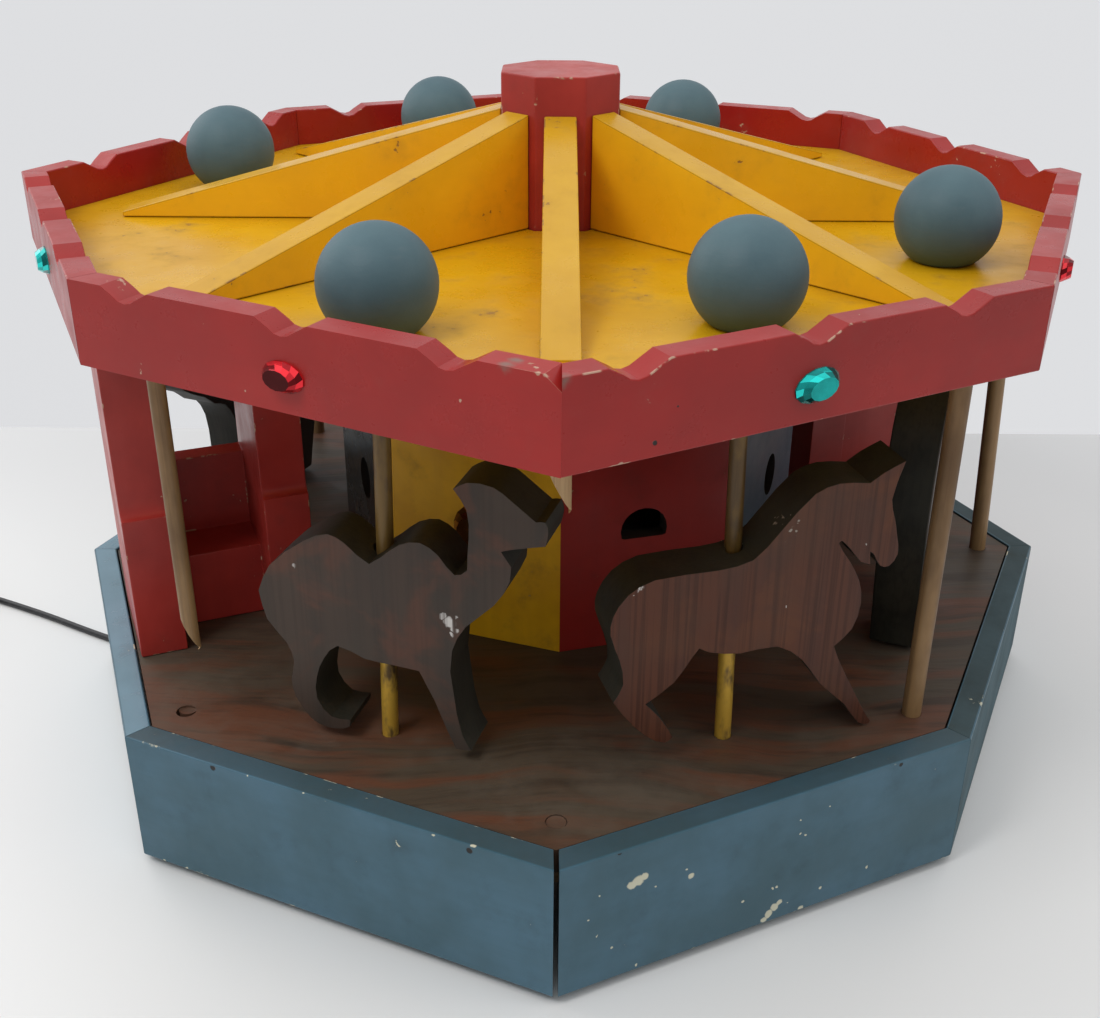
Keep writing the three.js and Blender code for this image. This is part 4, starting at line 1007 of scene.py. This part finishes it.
def paint_facet_glints(stone):
    """Gives each facet its own painted brightness by its place, as painted glints and dark reflections,
    because the order of faces changes from run to run.
    """
    facets = stone.data.polygons
    in_order = sorted(range(len(facets)), key=lambda i: tuple(round(c, 6) for c in facets[i].center))
    facet_glints = stone.data.attributes.new("facet", "FLOAT", "FACE")
    for number, i in enumerate(in_order):
        facet_glints.data[i].value = number * glint_step % 1


def without_stone(board, start, outwards):
    """Takes the plain solid's own stone off the board's front and closes the face behind it."""
    choose_only(board)
    to_mode("EDIT")
    bpy.ops.mesh.select_mode(type="VERT")
    bpy.ops.mesh.select_all(action="DESELECT")
    to_mode("OBJECT")
    for vertex in board.data.vertices:
        vertex.select = (vertex.co - start).dot(outwards) > 0.1 * mm
    to_mode("EDIT")
    bpy.ops.mesh.delete(type="VERT")
    bpy.ops.mesh.select_all(action="SELECT")
    bpy.ops.mesh.fill_holes(sides=0)
    bpy.ops.mesh.select_all(action="SELECT")
    bpy.ops.mesh.dissolve_limited(angle_limit=math.radians(1))
    to_mode("OBJECT")


def set_on_face(stone, place, outwards, tilt=0.0):
    """Turns the stone's back to the board, tilts it a little in the board's plane and puts it in place."""
    outwards = Vector(outwards).normalized()
    along = upright.cross(outwards).normalized()
    turned = Matrix((along, outwards.cross(along), outwards)).transposed().to_4x4()
    stone.matrix_world = Matrix.Translation(place) @ turned @ Matrix.Rotation(tilt, 4, "Z")


roof_corners = corner_places(roof_reach, roof_turn)
for i in range(sides):
    start, end = side_of(roof_corners, i)
    outwards = (end - start).cross(upright).normalized()
    board = sawn_copy(f"fascia_board_{i + 1}", red_fascia, fascia_edge)
    without_stone(board, start, outwards)
    rounded(board, 0.6 * mm, 2, 35, slot=1, glued=mitred_at(start, end))
    if i in front_boards:
        for vertex in board.data.vertices:
            if abs(vertex.co.x) < seam_width:
                vertex.co.x += seam_opening if i == 7 else -seam_opening
    lay_grain(board, start + Vector((0, 0, fascia_floor)), end - start, piece_number=i)
    finished(board, f"painted_fascia_{i + 1}", "fascia_paint", f"fascia_board_{i + 1}", smooth=18)
    *size, tilt, facet_colour, table_colour = stone_kinds[i % 2]
    stone = cut_stone(*(length * mm for length in size))
    place = start + (end - start) * stone_along + Vector((0, 0, stone_level * mm))
    set_on_face(stone, place + outwards * glue_line * mm, outwards, tilt)
    finished(stone, f"fascia_stone_{i + 1}", "fascia_paint", smooth=12)
    coat(stone, stone_finishes[facet_colour], stone_finishes[table_colour])
    for face in stone.data.polygons:
        face.material_index = int(face.normal.dot(outwards) > 0.97)
    paint_facet_glints(stone)

end, start = drum_corners[0], drum_corners[7]
amber_out = (end - start).cross(upright).normalized()
amber_stone = cut_stone(*amber_size)
amber_place = (end + start) / 2 + Vector((0, 0, window_height)) + amber_out * glue_line * mm
set_on_face(amber_stone, amber_place, amber_out)
finished(amber_stone, "drum_stone", "drum_paint", smooth=12)
coat(amber_stone, stone_finishes["amber"])
paint_facet_glints(amber_stone)

# The animal poles: dowels once painted gold, standing in the deck, each with a two-inch
# turned ball on top, painted blue-grey, sitting on the roof with a small flat.
ball_paint = new_finish("ball_paint", 0.5, Specular_IOR_Level=0.3)
ball_place = places_on(ball_paint)
ball_cloud = clouds(ball_place, 30, 4, 0.6)
ball_marks = clouds(stretched(ball_place, (60, 60, 260)), 1, 4, 0.7)
ball_colour = laid_over((0.06, 0.112, 0.133), (0.079, 0.138, 0.158), ball_cloud, 0.3, 0.7)
ball_colour = laid_over(ball_colour, (0.12, 0.15, 0.16), ball_marks, 0.55, 0.8, 0, 0.3)
into_shader("Base Color", ball_colour)
roughened(ball_cloud, 0.46, 0.62)
bumped(weighted(clouds(ball_place, 620, 3), 0.7, ball_marks), 0.22, 0.0004)
gold_pole = new_finish("gold_pole", 0.38, Specular_IOR_Level=0.35)
pole_place = left_on(gold_pole)
pole_lines = clouds(stretched(pole_place, (6, 280, 280)), 1, 4, 0.6)
pole_rub = clouds(stretched(pole_place, (26, 60, 60)), 1, 4, 0.65)
pole_rise = parts_of(pole_place)["X"]
gilt_below = between(pole_rise, 0.125, 0.165, 1.0, 0.12)
gilt = weighted(between(pole_rub, 0.62, 0.45), gilt_below)
pole_colour = laid_over((0.115, 0.066, 0.022), (0.06, 0.034, 0.014), pole_lines, 0.35, 0.7)
pole_colour = mixed(gilt, pole_colour, (0.62, 0.37, 0.05))
into_shader("Base Color", pole_colour)
into_shader("Metallic", between(gilt, 0.3, 1.0, 0.0, 0.35))
bumped(pole_lines, 0.2, 0.0004)
ball_radius = 25.4 * mm
ball_flat = 5 * mm
pole_radius = 4.0 * mm
pole_gap = 0.4 * mm
ball_places = [(78.3, -182.8), (188.8, -82.2), (82, 180.5), (-80.3, 187.5), (-194.2, 70), (-75.2, -196.6)]
for i, (across, back) in enumerate(ball_places):
    node = f"finial_pole_{i + 1}"
    pole_foot = end_middles(node)[0]
    middle = Vector((across * mm, back * mm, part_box(node)[1].z - ball_radius))
    ball = new_mesh(
        bpy.ops.mesh.primitive_uv_sphere_add,
        segments=48, ring_count=28, radius=ball_radius, location=middle,
    )
    to_mode("EDIT")
    bpy.ops.mesh.select_all(action="SELECT")
    flat_place = middle - Vector((0, 0, ball_radius - ball_flat))
    bpy.ops.mesh.bisect(plane_co=flat_place, plane_no=upright, clear_inner=True, use_fill=True)
    to_mode("OBJECT")
    rounded(ball, 0.6 * mm, 2, 30)
    finished(ball, f"ball_finial_{i + 1}", "finial_paint", node, smooth=30)
    coat(ball, ball_paint)
    pole_share = (flat_place.z - pole_gap - pole_foot.z) / (middle.z - pole_foot.z)
    pole = rod_between(pole_foot, pole_foot.lerp(middle, pole_share), pole_radius)
    rounded(pole, 0.4 * mm, 2, 60)
    finished(pole, f"gold_pole_{i + 1}", "finial_paint", smooth=40)
    lay_grain(pole, (pole_foot.x, pole_foot.y, 0), upright, to_front)
    coat(pole, gold_pole)

# The studio: a pale table top that ends behind the lamp, a large pale wall, softly glowing and so far
# away that the lamp is seen from behind too, a soft overhead light and three weaker ones.
table_rear_edge = 0.36
table_size = (8, 6)
wall_place = (0, 8.0, 5.0)
wall_size = (70, 50)


def studio_sheet(name, size, place, rotation=(0, 0, 0)):
    sheet = new_mesh(bpy.ops.mesh.primitive_plane_add, size=1, location=place, rotation=rotation)
    sheet.name = name
    sheet.scale = (*size, 1)
    bpy.ops.object.transform_apply(location=True, rotation=True, scale=True)
    return sheet


table = studio_sheet("pale_table", table_size, (0, -table_size[1] / 2 + table_rear_edge, 0))
table_top = new_finish("pale_table_top", 0.38)
table_cloud = clouds(places_on(table_top), 3, 3)
table_colour = mixed(table_cloud, (0.74, 0.74, 0.735), (0.78, 0.78, 0.77))
# The table is painted darker towards its rear edge: painted shade.
table_rear_painted_shade = between(parts_of(places_on(table_top))["Y"], 0.0, 0.34, 0, 0.9)
into_shader("Base Color", mixed(table_rear_painted_shade, table_colour, (0.6, 0.6, 0.6)))
coat(table, table_top)
wall = studio_sheet("pale_wall", wall_size, wall_place, (math.pi / 2, 0, 0))
wall_face = new_finish("pale_wall_face", 0.9, Emission_Color=(0.98, 0.985, 1.0, 1), Emission_Strength=0.48)
wall_cloud = clouds(places_on(wall_face), 0.3, 2)
into_shader("Base Color", mixed(wall_cloud, (0.5, 0.5, 0.51), (0.54, 0.54, 0.55)))
coat(wall, wall_face)

world = bpy.data.worlds.new("studio")
world.use_nodes = True
background = world.node_tree.nodes["Background"]
background.inputs["Color"].default_value = (0.96, 0.98, 1.0, 1)
background.inputs["Strength"].default_value = 0.49
bpy.context.scene.world = world
bpy.context.scene.view_settings.view_transform = "Standard"
# The lights: name, place, what they look at, size and power
for lamp_name, place, aim, size, power in (
    ("overhead_light", (0.1, -0.1, 2.2), (0, 0, 0.2), 3.0, 22),
    ("front_light", (-0.85, -0.83, 1.66), (0, 0, 0.25), 0.6, 11),
    ("right_light", (1.5, -0.55, 1.2), (0, 0, 0.25), 0.7, 3.3),
    ("window_light", (-1.05, 0.45, 0.8), (0, 0, 0.25), 0.9, 4.5),
):
    bpy.ops.object.light_add(type="AREA", location=place)
    studio_light = bpy.context.object
    studio_light.name = lamp_name
    studio_light.visible_camera = False
    studio_light.data.size = size
    studio_light.data.energy = power
    studio_light.rotation_euler = (Vector(place) - Vector(aim)).to_track_quat("Z", "Y").to_euler()
